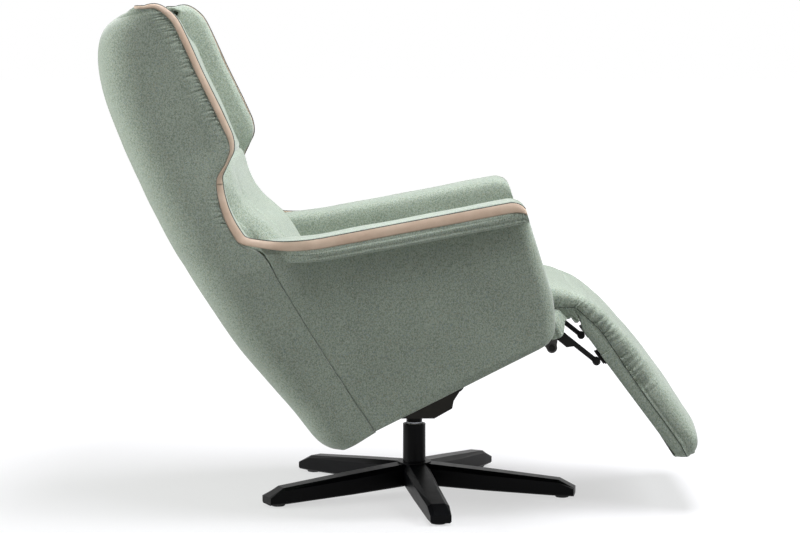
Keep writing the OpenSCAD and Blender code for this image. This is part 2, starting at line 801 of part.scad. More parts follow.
nose_turns = [30, 55, 75, 90];
arm_stations = concat(
  [for (k = [0:arm_steps]) [mix(arm_back_x, arm_front_x - 30, k / arm_steps), arm_shear(k)]],
  [for (a = nose_turns) [arm_front_x - 30 + 30 * sin(a), 0]]);
module arm_pad(left) {
  color(fabric_light) leaned() on_left(left)
    loft([for (s = arm_stations) arm_section(s[0], nose(s[0]), s[1])]);
}
module arm_pad_left() arm_pad(true);
module arm_pad_right() arm_pad(false);

module arm_lining(left) {
  front = arm_front_x - 20;
  low = frame_z - 60;
  color(fabric) leaned() on_left(left) slab(arm_inner + soft_gap, frame_half - seat_on) difference() {
    polygon([
      [back_plane_x(low) + 2, low], [front, low], [front, under_arm(front)], [-190, under_arm(-190)],
      [back_plane_x(under_arm(-190)) + 2, under_arm(-190)]
    ]);
    translate([draw_x, frame_z]) rotate(seat_slope)
      translate([-500, -200]) square([1000, 200 + rail_h + web_t + seat_on]);
  }
}
module arm_lining_left() arm_lining(true);
module arm_lining_right() arm_lining(false);

// Head wings: pads on the inner faces of the shell. Front X at each height, and how full the section is
wing_rows = [
  [1.36, -232, 0.5], [1.37, -219, 0.8], [1.41, -205, 0.95], [1.47, -200, 1], [1.63, -211, 1],
  [1.78, -226, 1], [1.87, -238, 1], [1.91, -247, 0.93], [1.94, -256, 0.75], [1.95, -266, 0.5]
];
rear_table = [for (i = [3:19]) [rear_line[i][1], rear_line[i][0]]];
function wing_back(z) = max(back_plane_x(z) + 2, lookup(z, rear_table) + back_crown + corner_r);
function wing_section(row) =
  let (z = level(row[0]), front = row[1], back = wing_back(z), fill = row[2])
  let (y0 = arm_inner + soft_gap, y1 = inner_half - seat_on, half = (front - back) / 2)
  let (hy = (y1 - y0) / 2 * mix(0.6, 1, fill))
  [for (k = [0:15]) let (a = 360 * k / 16 + 11.25)
    [(front + back) / 2 + fill * half * spow(cos(a), 0.5), y1 - hy + hy * spow(sin(a), 0.5), z]];

module wing_pad(left) {
  color(fabric_light) leaned() on_left(left) loft([for (r = wing_rows) wing_section(r)]);
}
module wing_pad_left() wing_pad(true);
module wing_pad_right() wing_pad(false);

// Leather bands

function band_ring(c, f, g) = [c, c + band_w * f + 3 * g, c + band_w * f + (3 + band_t) * g, c + band_t * g];
function edge_dir(i) =
  let (n = len(edge_line), a = edge_line[max(i - 1, 0)], b = edge_line[min(i + 1, n - 1)])
  let (d = unit(b - a))
  [d[1], -d[0]];

module wing_trim() {
  n = len(edge_line);
  taper = [0.93, 0.8, 0.62];
  side = [for (i = [seam_top:n - 1])
    let (e = edge_line[i], d = edge_dir(i) * (i > n - 4 ? taper[i - n + 3] : 1))
    band_ring([e[0] + 0.4 * d[0], half_width(e[1]), e[1] + 0.4 * d[1]], [d[0], 0, d[1]], [0, -1, 0])];
  top_row = outer_course(n - 1);
  m = len(top_row);
  d = edge_dir(n - 1);
  over = [for (j = [2:m - 3])
    let (t = min(min(j, m - 1 - j) / 7, 1), s = j < m / 2 ? -1 : 1)
    let (f = unit([1, 0, 0.3] * t + [d[0], 0, d[1]] * (1 - t)) * taper[2])
    let (g = unit([0.5, 0, -1] * t + [0, s, 0] * (1 - t)))
    band_ring(top_row[j] + 4 * f, f, g)];
  other = [for (k = [len(side) - 1:-1:0]) [for (p = side[k]) [p[0], -p[1], p[2]]]];
  color(leather) leaned() loft(concat(side, over, other));
}

module arm_trim(left) {
  rings = [for (k = [1:len(arm_stations) - 2])
    let (s = arm_stations[k], p = arm_section(s[0], nose(s[0]), s[1]))
    let (u = unit(p[4] - p[3]), g = [0, -u[2], u[1]])
    [p[3] - 0.5 * g, p[4] - 0.5 * g, p[4] - band_t * g * 0.8, p[3] - band_t * g]];
  color(leather) leaned() on_left(left) loft(rings);
}
module arm_trim_left() arm_trim(true);
module arm_trim_right() arm_trim(false);

// Cushions

// A cushion section: flat below, crowned above, with rounded sides
function cushion_ring(a, low, high, crown, m = 24) =
  let (waist = mix(low, high, 0.35))
  [for (k = [0:m - 1]) let (t = 360 * k / m, c = spow(cos(t), 0.3), s = sin(t))
    [a * c, s > 0
      ? waist + (high - waist) * pow(s, 0.4) + crown * (1 - c * c) * s
      : waist - (waist - low) * pow(-s, 0.4)]];

// A section given as [y, z], stood up at x
function stood(x, ring) = [for (p = ring) [x, p[0], p[1]]];

module seat_cushion() {
  low = rail_h + web_t + seat_on;
  x0 = 1 - back_offset;
  x1 = seat_front_x - draw_x;
  a = arm_inner - soft_gap;
  steps = 14;
  roll = 26;
  high = low + seat_pad_t;
  start = stood(x0, cushion_ring(a - 8, low + 6, high - 8, 0));
  body = [for (k = [0:steps]) let (t = k / steps)
    stood(mix(x0 + 10, x1 - roll, t),
      cushion_ring(a - draw_in * sin(180 * t), low, high, seat_crown * sin(150 * t + 15)))];
  front = [for (u = [25, 50, 70, 85]) let (h = seat_pad_t * (1 - cos(u)) * 0.5)
    stood(x1 - roll + roll * sin(u),
      cushion_ring(a - 12 * (1 - cos(u)), low + h * 0.5, high - h, seat_crown * 0.3))];
  color(fabric_light) leaned() on_seat() loft(concat([start], body, front));
}

// Back cushion: height up the back, depth in front of the back frame at the middle and at the sides,
// how far its sides reach beyond the arms, and its rear face
back_rows = [
  [92, 50, 44, -8, 0], [100, 66, 52, -2, 0], [140, 78, 62, -1, 0], [200, 92, 72, -1, 0],
  [265, 98, 76, -1, 0], [330, 99, 66, 9, 0], [380, 90, 52, 37, 0], [430, 80, 46, 46, 0],
  [472, 76, 50, 33, 0], [498, 77, 56, 0, 0], [575, 76, 70, -1, 0], [650, 70, 68, -1, 0],
  [720, 66, 64, -1, 0], [766, 64, 62, -1, 6], [788, 62, 60, -3, 36], [801, 58, 56, -9, 48]
];
module back_cushion() {
  drawn_rise = 820;
  a_scale = (top_z - back_foot_z) / drawn_rise;
  rings = [for (r = back_rows)
    [for (p = cushion_ring(arm_inner + r[3] - draw_in * 0.3, r[4] + 0.4, r[2], r[1] - r[2]))
      [p[1], p[0], r[0] * a_scale]]];
  color(fabric_light) leaned() on_back() loft(rings);
}

// Leg rest hinge and drive on the seat frame

plate_y = arm_plate_y + 36;
plate_t = 10;
stop_x = hinge_x - 10;
stop_z = hinge_z - 39;
stop_r = 6.5;
frame_end_x = draw_x + frame_front * cos(seat_slope);

module hinge_plates() {
  color(steel) leaned() both_sides() difference() {
    slab(plate_y, plate_y + plate_t) difference() {
      union() {
        translate([hinge_x, hinge_z]) circle(r = torque_r + 8);
        translate([stop_x, stop_z]) circle(r = stop_r + 4);
        polygon([
          [frame_end_x - 10, hinge_z - 2], [frame_end_x - 10, hinge_z + 22],
          [hinge_x, hinge_z + torque_r + 8],
          [hinge_x + 10, hinge_z - 12], [stop_x + 10, stop_z], [stop_x - 10, stop_z]
        ]);
      }
      translate([draw_x, frame_z]) rotate(seat_slope) translate([-20, -60])
        square([frame_front + 20 + tiny, 200]);
    }
    translate([hinge_x, 0, hinge_z]) across(torque_r + bush_wall, 3 * plate_y);
    translate([stop_x, 0, stop_z]) across(stop_r + tiny, 3 * plate_y);
  }
}

module hinge_bushes() {
  color(webbing) leaned() both_sides() translate([hinge_x, 0, hinge_z]) difference() {
    across(torque_r + bush_wall - tiny, plate_t, plate_y + plate_t / 2);
    across(torque_r + run, 3 * plate_y);
  }
}

module stop_bar() {
  color(black) leaned() translate([stop_x, 0, stop_z]) across(stop_r, 2 * (plate_y + plate_t + 5));
}

gear_half = 34;
module legrest_motor() {
  gear_back = frame_end_x - 46;
  color(black) leaned() difference() {
    union() {
      translate([hinge_x, 0, hinge_z]) across(torque_r + 7, 2 * gear_half);
      slab(-gear_half, gear_half) difference() {
        polygon([
          [gear_back, hinge_z - 48], [hinge_x - 38, hinge_z - 48], [hinge_x - 20, hinge_z - 26],
          [hinge_x + 4, hinge_z - 24], [hinge_x + 14, hinge_z - 10], [hinge_x - 8, hinge_z + 19],
          [frame_end_x + 1, hinge_z + 19], [gear_back, hinge_z + 10]
        ]);
        translate([draw_x, frame_z]) rotate(seat_slope) translate([-20, 0]) square([frame_front + 20, 200]);
      }
      translate([gear_back - 78, 0, hinge_z - 30]) rotate([0, 90, 0]) cylinder(r = 18, h = 80);
    }
    translate([hinge_x, 0, hinge_z]) across(torque_r + run, 4 * gear_half);
  }
}

// Leg rest swing: torque tube, swing arms and the bars that the board slides on

module torque_tube() {
  color(steel) leaned() translate([hinge_x, 0, hinge_z]) difference() {
    across(torque_r, 2 * (plate_y + plate_t));
    across(torque_r - tube_wall, 2 * (plate_y + plate_t) + 2);
  }
}

knuckle_a = 114;
knuckle_n = 30;
knuckle_r = 8;
link_w = 10;
module swing_arm(left) {
  color(black) leaned() on_leg() on_left(left) translate([0, arm_plate_y, 0]) difference() {
    union() {
      slab(-arm_plate_t / 2, arm_plate_t / 2) difference() {
        union() {
          circle(r = torque_r + 5);
          rotate(atan2(knuckle_n, knuckle_a)) translate([0, -link_w / 2])
            square([norm([knuckle_a, knuckle_n]), link_w]);
          polygon([[8, -11], [24.5, -9], [56, -1], [66, 17], [31, 14]]);
        }
        circle(r = torque_r + tiny);
      }
      translate([knuckle_a, 0, knuckle_n]) across(knuckle_r, 16);
    }
    translate([knuckle_a, 0, knuckle_n]) across(bolt_r + tiny, 20);
  }
}
module swing_arm_left() swing_arm(true);
module swing_arm_right() swing_arm(false);

bolt_r = 3;
module knuckle_bolts() {
  color(zinc) leaned() on_leg() both_sides() translate([knuckle_a, arm_plate_y, knuckle_n]) {
    across(bolt_r, 22);
    across(bolt_r + 2.5, 3, 9.5);
    across(bolt_r + 2.5, 3, -9.5);
  }
}

slot_half = 14;
slot_d = 12;
channel_t = 1.5;
bar_half = 9;
slot_end = board_start + board_len - 12;

// The bars end this far from the end of the slots when the board is pulled in
bar_end_gap = 24;
foot_a = knuckle_a - 18;
bar_len = slot_end - board_travel - foot_a - bar_end_gap;
module slide_bars() {
  color(zinc) leaned() on_leg() both_sides() translate([0, arm_plate_y, 0]) {
    translate([foot_a, -bar_half, board_n + 3]) cube([bar_len, 2 * bar_half, 6]);
    translate([foot_a, -3, board_n - 4]) cube([34, 6, 7.5]);
    translate([foot_a, -bar_half, board_n - 7]) cube([30, 2 * bar_half, 3]);
  }
}

module slide_channels() {
  t = channel_t;
  length = slot_end - board_start;
  color(zinc) leaned() on_leg() both_sides() translate([board_start, arm_plate_y, board_n]) difference() {
    translate([0, -slot_half + run, 0]) cube([length - 1, 2 * (slot_half - run), slot_d - run]);
    translate([-1, -slot_half + t, t]) cube([length + 2, 2 * (slot_half - t), slot_d - 2 * t]);
    translate([-1, -6, -1]) cube([length + 2, 12, t + 2]);
  }
}

module legrest_board() {
  color(fabric) leaned() on_leg() difference() {
    translate([board_start, -leg_half + 4, board_n]) cube([board_len, 2 * (leg_half - 4), board_t]);
    both_sides() translate([board_start - 1, arm_plate_y - slot_half, board_n - 1])
      cube([slot_end - board_start + 1, 2 * slot_half, slot_d + 1]);
  }
}

module board_screws() {
  head = 1.2;
  color(zinc) leaned() on_leg() both_sides() for (a = [0.15, 0.5, 0.85])
    translate([mix(board_start, slot_end, a), arm_plate_y + 10.8, board_n + slot_d - channel_t - head])
      cylinder(r = 1.6, h = head);
}

// Leg rest pad: thickness along its length, wrapped round the tip of the board
pad_rows = [
  [0, 0.80, 4], [8, 0.93, 1], [30, 0.98, 0], [70, 1, 0], [120, 1, 0],
  [175, 1, 0], [210, 0.98, 0], [232, 0.92, 0], [246, 0.82, 2]
];
module legrest_pad() {
  base_n = board_n + board_t + seat_on;
  k_len = board_len / 250;
  tip = board_start + board_len;
  rows = [for (r = pad_rows) let (half = leg_half - draw_in * sin(min(r[0], 180)) - r[2])
    stood(board_start + r[0] * k_len, cushion_ring(half, base_n, base_n + leg_pad_t * r[1] - 4, 5))];
  wrap = [[1, 0.72, 2], [10, 0.62, 2], [19, 0.48, 6], [25, 0.34, 12]];
  ends = [for (q = wrap)
    stood(tip + q[0], cushion_ring(leg_half - 3, board_n + q[2], base_n + leg_pad_t * q[1], 3))];
  step = stood(tip + 0.5, cushion_ring(leg_half - 3, base_n, base_n + leg_pad_t * 0.72, 3));
  color(fabric_light) leaned() on_leg() loft(concat(rows, [step], ends));
}

// Soft bridge from the seat front to the leg rest pad
bridge_top = [[322, 417], [340, 409], [368, 387], [392, 355], [412, 321], [430, 290], [441.5, 266.8]];
bridge_low = [[322, 366], [335, 362], [352, 356], [368, 330], [380, 298], [390, 271], [397, 249]];
module knee_bridge() {
  n = len(bridge_top);
  color(fabric_light) leaned() loft([for (i = [0:n - 1])
    let (hi = bridge_top[i], lo = bridge_low[i])
    [for (k = [0:19]) let (t = 360 * k / 20, q = mix(lo, hi, 0.5 + 0.5 * spow(sin(t), 0.4)))
      [q[0], (leg_half - 4) * spow(cos(t), 0.3), q[1]]]]);
}

star_base();
floor_glides();
column_tube();
column_bushes();
thrust_ring();
swivel_spindle();
spindle_clip();
swivel_bracket();
spindle_nut();
recline_pin();
recline_pin_clips();
recline_motor();
recline_motor_pin();
recline_rod();
recline_rod_pin();
tilt_ears();
tilt_bushes();
seat_rail_left();
seat_rail_right();
cross_tube_front();
cross_tube_middle();
cross_tube_rear();
seat_webbing();
back_upright_left();
back_upright_right();
back_top_rail();
back_webbing();
side_frame_left();
side_frame_right();
frame_bolts();
back_shell();
side_panel_left();
side_panel_right();
arm_pad_left();
arm_pad_right();
arm_lining_left();
arm_lining_right();
wing_pad_left();
wing_pad_right();
wing_trim();
arm_trim_left();
arm_trim_right();
seat_cushion();
back_cushion();
hinge_plates();
hinge_bushes();
stop_bar();
legrest_motor();
torque_tube();
swing_arm_left();
swing_arm_right();
knuckle_bolts();
slide_bars();
slide_channels();
legrest_board();
board_screws();
legrest_pad();
knee_bridge();
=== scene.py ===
import math
import random

import bmesh
import bpy
import numpy as np
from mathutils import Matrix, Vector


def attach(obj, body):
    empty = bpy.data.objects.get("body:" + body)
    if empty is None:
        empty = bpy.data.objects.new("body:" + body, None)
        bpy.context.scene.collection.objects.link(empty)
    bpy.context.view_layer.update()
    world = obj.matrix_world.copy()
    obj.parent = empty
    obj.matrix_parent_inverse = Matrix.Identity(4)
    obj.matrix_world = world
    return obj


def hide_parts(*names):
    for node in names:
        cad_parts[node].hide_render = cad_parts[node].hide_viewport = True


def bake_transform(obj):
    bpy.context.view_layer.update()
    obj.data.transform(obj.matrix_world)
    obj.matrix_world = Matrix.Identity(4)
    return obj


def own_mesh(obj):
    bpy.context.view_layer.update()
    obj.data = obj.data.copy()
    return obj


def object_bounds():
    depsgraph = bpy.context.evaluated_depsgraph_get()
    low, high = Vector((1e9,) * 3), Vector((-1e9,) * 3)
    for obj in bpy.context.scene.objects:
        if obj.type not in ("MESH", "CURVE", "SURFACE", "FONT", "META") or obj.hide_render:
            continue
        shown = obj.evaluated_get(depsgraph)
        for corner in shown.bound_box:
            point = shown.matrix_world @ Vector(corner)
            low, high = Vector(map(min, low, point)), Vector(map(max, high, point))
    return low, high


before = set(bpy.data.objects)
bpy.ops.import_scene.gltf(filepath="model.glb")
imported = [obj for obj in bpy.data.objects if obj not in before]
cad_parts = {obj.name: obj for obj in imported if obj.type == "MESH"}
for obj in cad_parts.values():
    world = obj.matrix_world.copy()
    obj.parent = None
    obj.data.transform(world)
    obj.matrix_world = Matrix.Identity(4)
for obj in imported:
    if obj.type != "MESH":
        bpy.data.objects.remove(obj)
cad_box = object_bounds()

MM = 0.001
SIDES = (("left", True), ("right", False))
LEAN = math.radians(15)
PIVOT_X, PIVOT_Z = 85.0, 235.0
SEAT_SLOPE = math.radians(4)
FRAME_Z = 312.0
BACK_X, BACK_Z, BACK_TILT = -182.0, 323.37, math.radians(14)
HINGE_X, HINGE_Z, LEG_TILT = 300.0, 325.0, math.radians(68.2)

# Camera at the photograph's viewing angle

IMAGE_W, FOCAL_PX, SENSOR = 800, 2340.0, 36.0
camera_data = bpy.data.cameras.new("camera")
camera_data.sensor_width = SENSOR
camera_data.lens = FOCAL_PX / IMAGE_W * SENSOR
camera = bpy.data.objects.new("camera", camera_data)
camera.location = (-0.048, -4.817, 0.996)
camera.rotation_euler = (math.pi / 2 - 0.108, 0, -0.0038)
bpy.context.collection.objects.link(camera)
bpy.context.scene.camera = camera


# Places in the upright drawing, in millimetres

def leaned(p):
    """Points of the upright drawing, leaned back, in metres."""
    p = np.asarray(p, float)
    dx, dz = p[..., 0] - PIVOT_X, p[..., 2] - PIVOT_Z
    c, s = math.cos(LEAN), math.sin(LEAN)
    return np.stack([PIVOT_X + dx * c - dz * s, p[..., 1], PIVOT_Z + dx * s + dz * c], -1) * MM


def tilted(p, x0, z0, angle):
    """Points of a tilted part frame, in the upright drawing."""
    p = np.asarray(p, float)
    c, s = math.cos(angle), math.sin(angle)
    return np.stack([x0 + p[..., 0] * c + p[..., 2] * s, p[..., 1], z0 - p[..., 0] * s + p[..., 2] * c], -1)


def in_frame(p, x0, z0, angle):
    """The other way: points of the scene, in metres, as places in a tilted part frame, in millimetres."""
    p = np.asarray(p, float) / MM
    dx, dz = p[..., 0] - PIVOT_X, p[..., 2] - PIVOT_Z
    c, s = math.cos(LEAN), math.sin(LEAN)
    x, z = PIVOT_X + dx * c + dz * s - x0, PIVOT_Z - dx * s + dz * c - z0
    c, s = math.cos(angle), math.sin(angle)
    return np.stack([x * c - z * s, p[..., 1], x * s + z * c], -1)


# Curves and numbers

def spline(points, at):
    """A smooth curve through the points, read at fractional indices."""
    p = np.asarray(points, float)
    n = len(p)
    at = np.clip(np.asarray(at, float), 0, n - 1)
    i = np.minimum(at.astype(int), n - 2)
    f = (at - i)[:, None]
    a, b, c, d = p[np.maximum(i - 1, 0)], p[i], p[i + 1], p[np.minimum(i + 2, n - 1)]
    turn, twist = 2 * a - 5 * b + 4 * c - d, 3 * b - a - 3 * c + d
    return 0.5 * (2 * b + (c - a) * f + turn * f ** 2 + twist * f ** 3)


def closed_spline(points, count):
    """A smooth closed ring through the points."""
    p = np.asarray(points, float)
    n = len(p)
    wide = np.concatenate([p[-2:], p, p[:3]])
    return spline(wide, 2 + np.arange(count) * n / count)


def unit(v):
    v = np.asarray(v, float)
    return v / np.maximum(np.linalg.norm(v, axis=-1, keepdims=True), 1e-9)


def smooth_step(x):
    x = np.clip(x, 0, 1)
    return x * x * (3 - 2 * x)


def spow(v, e):
    """A power that keeps the sign, for rounded squares."""
    return np.sign(v) * np.abs(v) ** e


def ripple(p, size, seed=0):
    """Slow uneven swell of padded cloth, between about -1 and 1, for points in millimetres."""
    q = np.asarray(p, float) / size
    rng = np.random.default_rng(seed)
    total = np.zeros(q.shape[:-1])
    for k in range(7):
        way = rng.normal(size=3)
        way /= np.linalg.norm(way)
        total += np.sin(q @ way * rng.uniform(3.5, 7.5) + rng.uniform(0, 6.28))
    return total / 3.2


def along(line):
    """Length along a line of points, from its start."""
    return np.concatenate([[0], np.cumsum(np.linalg.norm(np.diff(line, axis=0), axis=1))])


# Meshes

def mesh_object(name, points, faces, finish):
    """A smooth mesh with every face turned outwards."""
    mesh = bpy.data.meshes.new(name)
    mesh.from_pydata([tuple(p) for p in points], [], faces)
    mesh.validate()
    mesh.update()
    mesh.polygons.foreach_set("use_smooth", [True] * len(mesh.polygons))
    obj = bpy.data.objects.new(name, mesh)
    bpy.context.collection.objects.link(obj)
    shape = bmesh.new()
    shape.from_mesh(mesh)
    bmesh.ops.recalc_face_normals(shape, faces=shape.faces)
    shape.to_mesh(mesh)
    shape.free()
    mesh.materials.append(finish)
    return obj


def ring_faces(rows, cols, base=0):
    """Faces between each ring of points and the next one."""
    faces = []
    for a in range(base, base + (rows - 1) * cols, cols):
        for c in range(cols):
            d = (c + 1) % cols
            faces.append((a + c, a + d, a + cols + d, a + cols + c))
    return faces


def flat_cap(start, cols):
    """Closes a ring whose first and second halves lie opposite each other."""
    last = start + cols - 1
    return [(start + a, start + a + 1, last - 1 - a, last - a) for a in range(cols // 2 - 1)]


def rounded_end(ring, nxt, radius):
    """Three more rings that round off the end of a paired tube."""
    out = unit(ring - nxt)
    across = unit(ring[::-1] - ring)
    turns = [math.radians(turn) for turn in (30, 60, 90)]
    return [ring + radius * ((1 - math.cos(a)) * across + math.sin(a) * out) for a in turns]


def paired_tube(name, rings, finish, end_round):
    """A closed tube of rings whose second half mirrors the first, so the ends close flat."""
    head = rounded_end(rings[0], rings[1], end_round)[::-1]
    tail = rounded_end(rings[-1], rings[-2], end_round)
    rings = np.concatenate([head, rings, tail])
    rows, cols = rings.shape[:2]
    faces = ring_faces(rows, cols) + flat_cap(0, cols) + flat_cap((rows - 1) * cols, cols)
    return mesh_object(name, rings.reshape(-1, 3), faces, finish)


def plain_tube(name, rings, finish):
    """A closed tube of rings whose ends close in a point at their middle."""
    rings = np.asarray(rings, float)
    rows, cols = rings.shape[:2]
    points = np.concatenate([rings.reshape(-1, 3), [rings[0].mean(0)], [rings[-1].mean(0)]])
    n = rows * cols
    faces = ring_faces(rows, cols)
    faces += [(n, (c + 1) % cols, c) for c in range(cols)]
    faces += [(n + 1, n - cols + c, n - cols + (c + 1) % cols) for c in range(cols)]
    return mesh_object(name, points, faces, finish)


def cord_mesh(name, path, radius, finish, sides=6):
    """A thin round cord along a path given in metres."""
    path = np.asarray(path, float)
    ahead = unit(np.gradient(path, axis=0))
    up = np.array([0.0, 0.0, 1.0]) if abs(ahead[0][2]) < 0.9 else np.array([1.0, 0.0, 0.0])
    turn = (np.arange(sides) * 2 * math.pi / sides)[:, None]
    side = np.cross(ahead[0], up)
    rings = []
    for place, way in zip(path, ahead):
        side = unit(side - way * (side @ way))
        rings.append(place + radius * (np.cos(turn) * side + np.sin(turn) * np.cross(way, side)))
    return plain_tube(name, rings, finish)


STITCH_STEP, STITCH_SHARE, STITCH_RADIUS, STITCH_SIDES = 0.0046, 0.62, 0.0005, 5
STITCH_SWELL = (0.45, 1.0, 1.0, 0.45)


def stitches(name, path, out, finish):
    """A row of small thread stitches along a path in metres, standing out along out."""
    out = unit(np.broadcast_to(out, path.shape))
    run = along(path)
    points, faces = [], []
    for k in range(max(int(run[-1] / STITCH_STEP), 1)):
        stops = np.linspace(k * STITCH_STEP, (k + STITCH_SHARE) * STITCH_STEP, len(STITCH_SWELL))
        centre = np.stack([np.interp(stops, run, path[:, j]) for j in range(3)], 1)
        lift = unit(np.stack([np.interp(stops, run, out[:, j]) for j in range(3)], 1))
        side = unit(np.cross(unit(np.gradient(centre, axis=0)), lift))
        base = len(points)
        for j, swell in enumerate(STITCH_SWELL):
            for t in range(STITCH_SIDES):
                w = 2 * math.pi * t / STITCH_SIDES
                round_it = math.cos(w) * side[j] + math.sin(w) * lift[j]
                points.append(centre[j] + STITCH_RADIUS * (swell * round_it + lift[j] * 0.5 * (swell - 0.3)))
        last = base + 3 * STITCH_SIDES
        faces += ring_faces(len(STITCH_SWELL), STITCH_SIDES, base)
        faces.append(tuple(base + t for t in range(STITCH_SIDES))[::-1])
        faces.append(tuple(last + t for t in range(STITCH_SIDES)))
    return mesh_object(name, points, faces, finish)


# Surface groups shared by the finishes

class Tree:
    """Adds nodes and links with few words."""

    def __init__(self, tree):
        self.nodes, self.links = tree.nodes, tree.links

    def put(self, node, key, value):
        if hasattr(value, "is_output"):
            self.links.new(value, node.inputs[key])
        else:
            node.inputs[key].default_value = value

    def add(self, kind, values=None, **options):
        node = self.nodes.new(kind)
        for key, value in options.items():
            setattr(node, key, value)
        for key, value in (values or {}).items():
            self.put(node, key, value)
        return node

    def where(self):
        return self.add("ShaderNodeTexCoord").outputs["Object"]

    def mapped(self, where, **moves):
        return self.add("ShaderNodeMapping", {"Vector": where, **moves}).outputs[0]

    def noise(self, where, scale, detail=2.0, rough=0.5, distort=0.0):
        return self.add("ShaderNodeTexNoise", {
            "Vector": where, "Scale": scale, "Detail": detail, "Roughness": rough,
            "Distortion": distort}).outputs[0]

    def ramp(self, value, low, high, to_low=0.0, to_high=1.0):
        return self.add("ShaderNodeMapRange", {
            "Value": value, "From Min": low, "From Max": high, "To Min": to_low,
            "To Max": to_high}).outputs[0]

    def sums(self, kind, a, b):
        return self.add("ShaderNodeMath", {0: a, 1: b}, operation=kind).outputs[0]

    def times(self, a, b):
        return self.sums("MULTIPLY", a, b)

    def mix(self, share, a, b, kind="MIX"):
        values = {0: share, 6: a, 7: b}
        return self.add("ShaderNodeMix", values, data_type="RGBA", blend_type=kind).outputs[2]

    def between(self, share, low, high):
        return self.add("ShaderNodeMix", {0: share, 2: low, 3: high}, data_type="FLOAT").outputs[0]

    def toned(self, base, tone):
        grey = self.add("ShaderNodeCombineColor", {0: tone, 1: tone, 2: tone}).outputs[0]
        return self.mix(1.0, base, grey, "MULTIPLY")

    def only_seen(self):
        """1 for what the camera sees, in a mirror or through glass too, and 0 for light on the object."""
        path = self.add("ShaderNodeLightPath").outputs
        through = self.sums("MAXIMUM", path["Is Glossy Ray"], path["Is Transmission Ray"])
        return self.sums("MAXIMUM", path["Is Camera Ray"], through)


def colour(r, g, b):
    """A colour from 0-255 screen values, as linear numbers."""
    def one(v):
        v /= 255
        return v / 12.92 if v <= 0.04045 else ((v + 0.055) / 1.055) ** 2.4
    return (one(r), one(g), one(b), 1.0)


def new_group(name, inputs):
    """A group that gives a colour, a height and a roughness, its tree and its inputs."""
    group = bpy.data.node_groups.new(name, "ShaderNodeTree")
    for label, value in inputs.items():
        kind = "NodeSocketFloat" if isinstance(value, float) else "NodeSocketColor"
        group.interface.new_socket(label, in_out="INPUT", socket_type=kind).default_value = value
    for label, kind in (("Color", "Color"), ("Height", "Float"), ("Roughness", "Float")):
        group.interface.new_socket(label, in_out="OUTPUT", socket_type="NodeSocket" + kind)
    tree = Tree(group)
    return group, tree, tree.add("NodeGroupInput").outputs


def build_melange_group():
    """Felted wool of mixed fibres: body colour, darker and paler fibres, and a few warm and blue flecks."""
    group, t, i = new_group("melange_wool", {
        "Body": colour(160, 172, 154), "Dark fibre": colour(116, 131, 112),
        "Pale fibre": colour(204, 212, 198), "Warm fleck": colour(158, 152, 128),
        "Blue fleck": colour(134, 151, 158), "Grain": 1.0})
    where = t.where()
    stretched = t.mapped(where, Scale=(1.0, 1.0, 0.8))
    clumps = t.noise(stretched, t.times(i["Grain"], 370.0), 3.0, 0.62, 0.4)
    fibres = t.noise(where, t.times(i["Grain"], 800.0), 3.0, 0.7, 0.8)
    warm = t.noise(where, t.times(i["Grain"], 450.0), 2.0, 0.5)
    blue = t.noise(t.mapped(where, Location=(3.1, 1.7, 5.3)), t.times(i["Grain"], 420.0), 2.0, 0.5)
    drift = t.noise(where, 7.0, 3.0, 0.5)
    base = t.mix(t.ramp(clumps, 0.38, 0.6), i["Dark fibre"], i["Body"])
    base = t.mix(t.ramp(fibres, 0.5, 0.68, 0.0, 0.8), base, i["Pale fibre"])
    base = t.mix(t.ramp(warm, 0.56, 0.66, 0.0, 0.55), base, i["Warm fleck"])
    base = t.mix(t.ramp(blue, 0.56, 0.66, 0.0, 0.5), base, i["Blue fleck"])
    t.add("NodeGroupOutput", {
        "Color": t.toned(base, t.ramp(drift, 0.3, 0.7, 0.94, 1.06)),
        "Height": t.sums("ADD", t.times(clumps, 0.6), t.times(fibres, 0.4)),
        "Roughness": t.ramp(fibres, 0.3, 0.7, 0.98, 0.86)})
    return group


def build_grain_group():
    """Pebbled leather or moulded surface: cells, fine creases and slow tone changes."""
    group, t, i = new_group("pebbled_grain", {
        "Tone": colour(200, 176, 150), "Worn tone": colour(222, 204, 182), "Cells": 700.0,
        "Low rough": 0.4, "High rough": 0.6})
    where = t.where()
    cell = t.add("ShaderNodeTexVoronoi", {"Vector": where, "Scale": i["Cells"]}, feature="SMOOTH_F1")
    fine = t.noise(where, t.times(i["Cells"], 2.2), 3.0, 0.6)
    slow = t.noise(where, 24.0, 4.0, 0.55)
    base = t.mix(t.ramp(slow, 0.35, 0.7), i["Tone"], i["Worn tone"])
    t.add("NodeGroupOutput", {
        "Color": t.toned(base, t.ramp(fine, 0.35, 0.65, 0.95, 1.04)),
        "Height": t.sums("ADD", t.times(cell.outputs["Distance"], 0.7), t.times(fine, 0.3)),
        "Roughness": t.between(slow, i["Low rough"], i["High rough"])})
    return group


def build_metal_group():
    """Coated or plated metal: fine orange peel, faint streaks and dust in its tone."""
    group, t, i = new_group("metal_surface", {
        "Tone": colour(40, 40, 42), "Dusty tone": colour(56, 57, 60), "Peel": 420.0,
        "Low rough": 0.3, "High rough": 0.45})
    where = t.where()
    slow = t.noise(where, 30.0, 4.0, 0.6)
    streak = t.noise(t.mapped(where, Scale=(1.0, 1.0, 14.0)), 26.0, 3.0, 0.6)
    dust = t.ramp(t.sums("ADD", slow, t.times(streak, 0.4)), 0.55, 0.95)
    t.add("NodeGroupOutput", {
        "Color": t.mix(dust, i["Tone"], i["Dusty tone"]),
        "Height": t.noise(where, i["Peel"], 2.0, 0.5),
        "Roughness": t.between(streak, i["Low rough"], i["High rough"])})
    return group


MELANGE = build_melange_group()
GRAIN = build_grain_group()
METAL = build_metal_group()


# Finishes

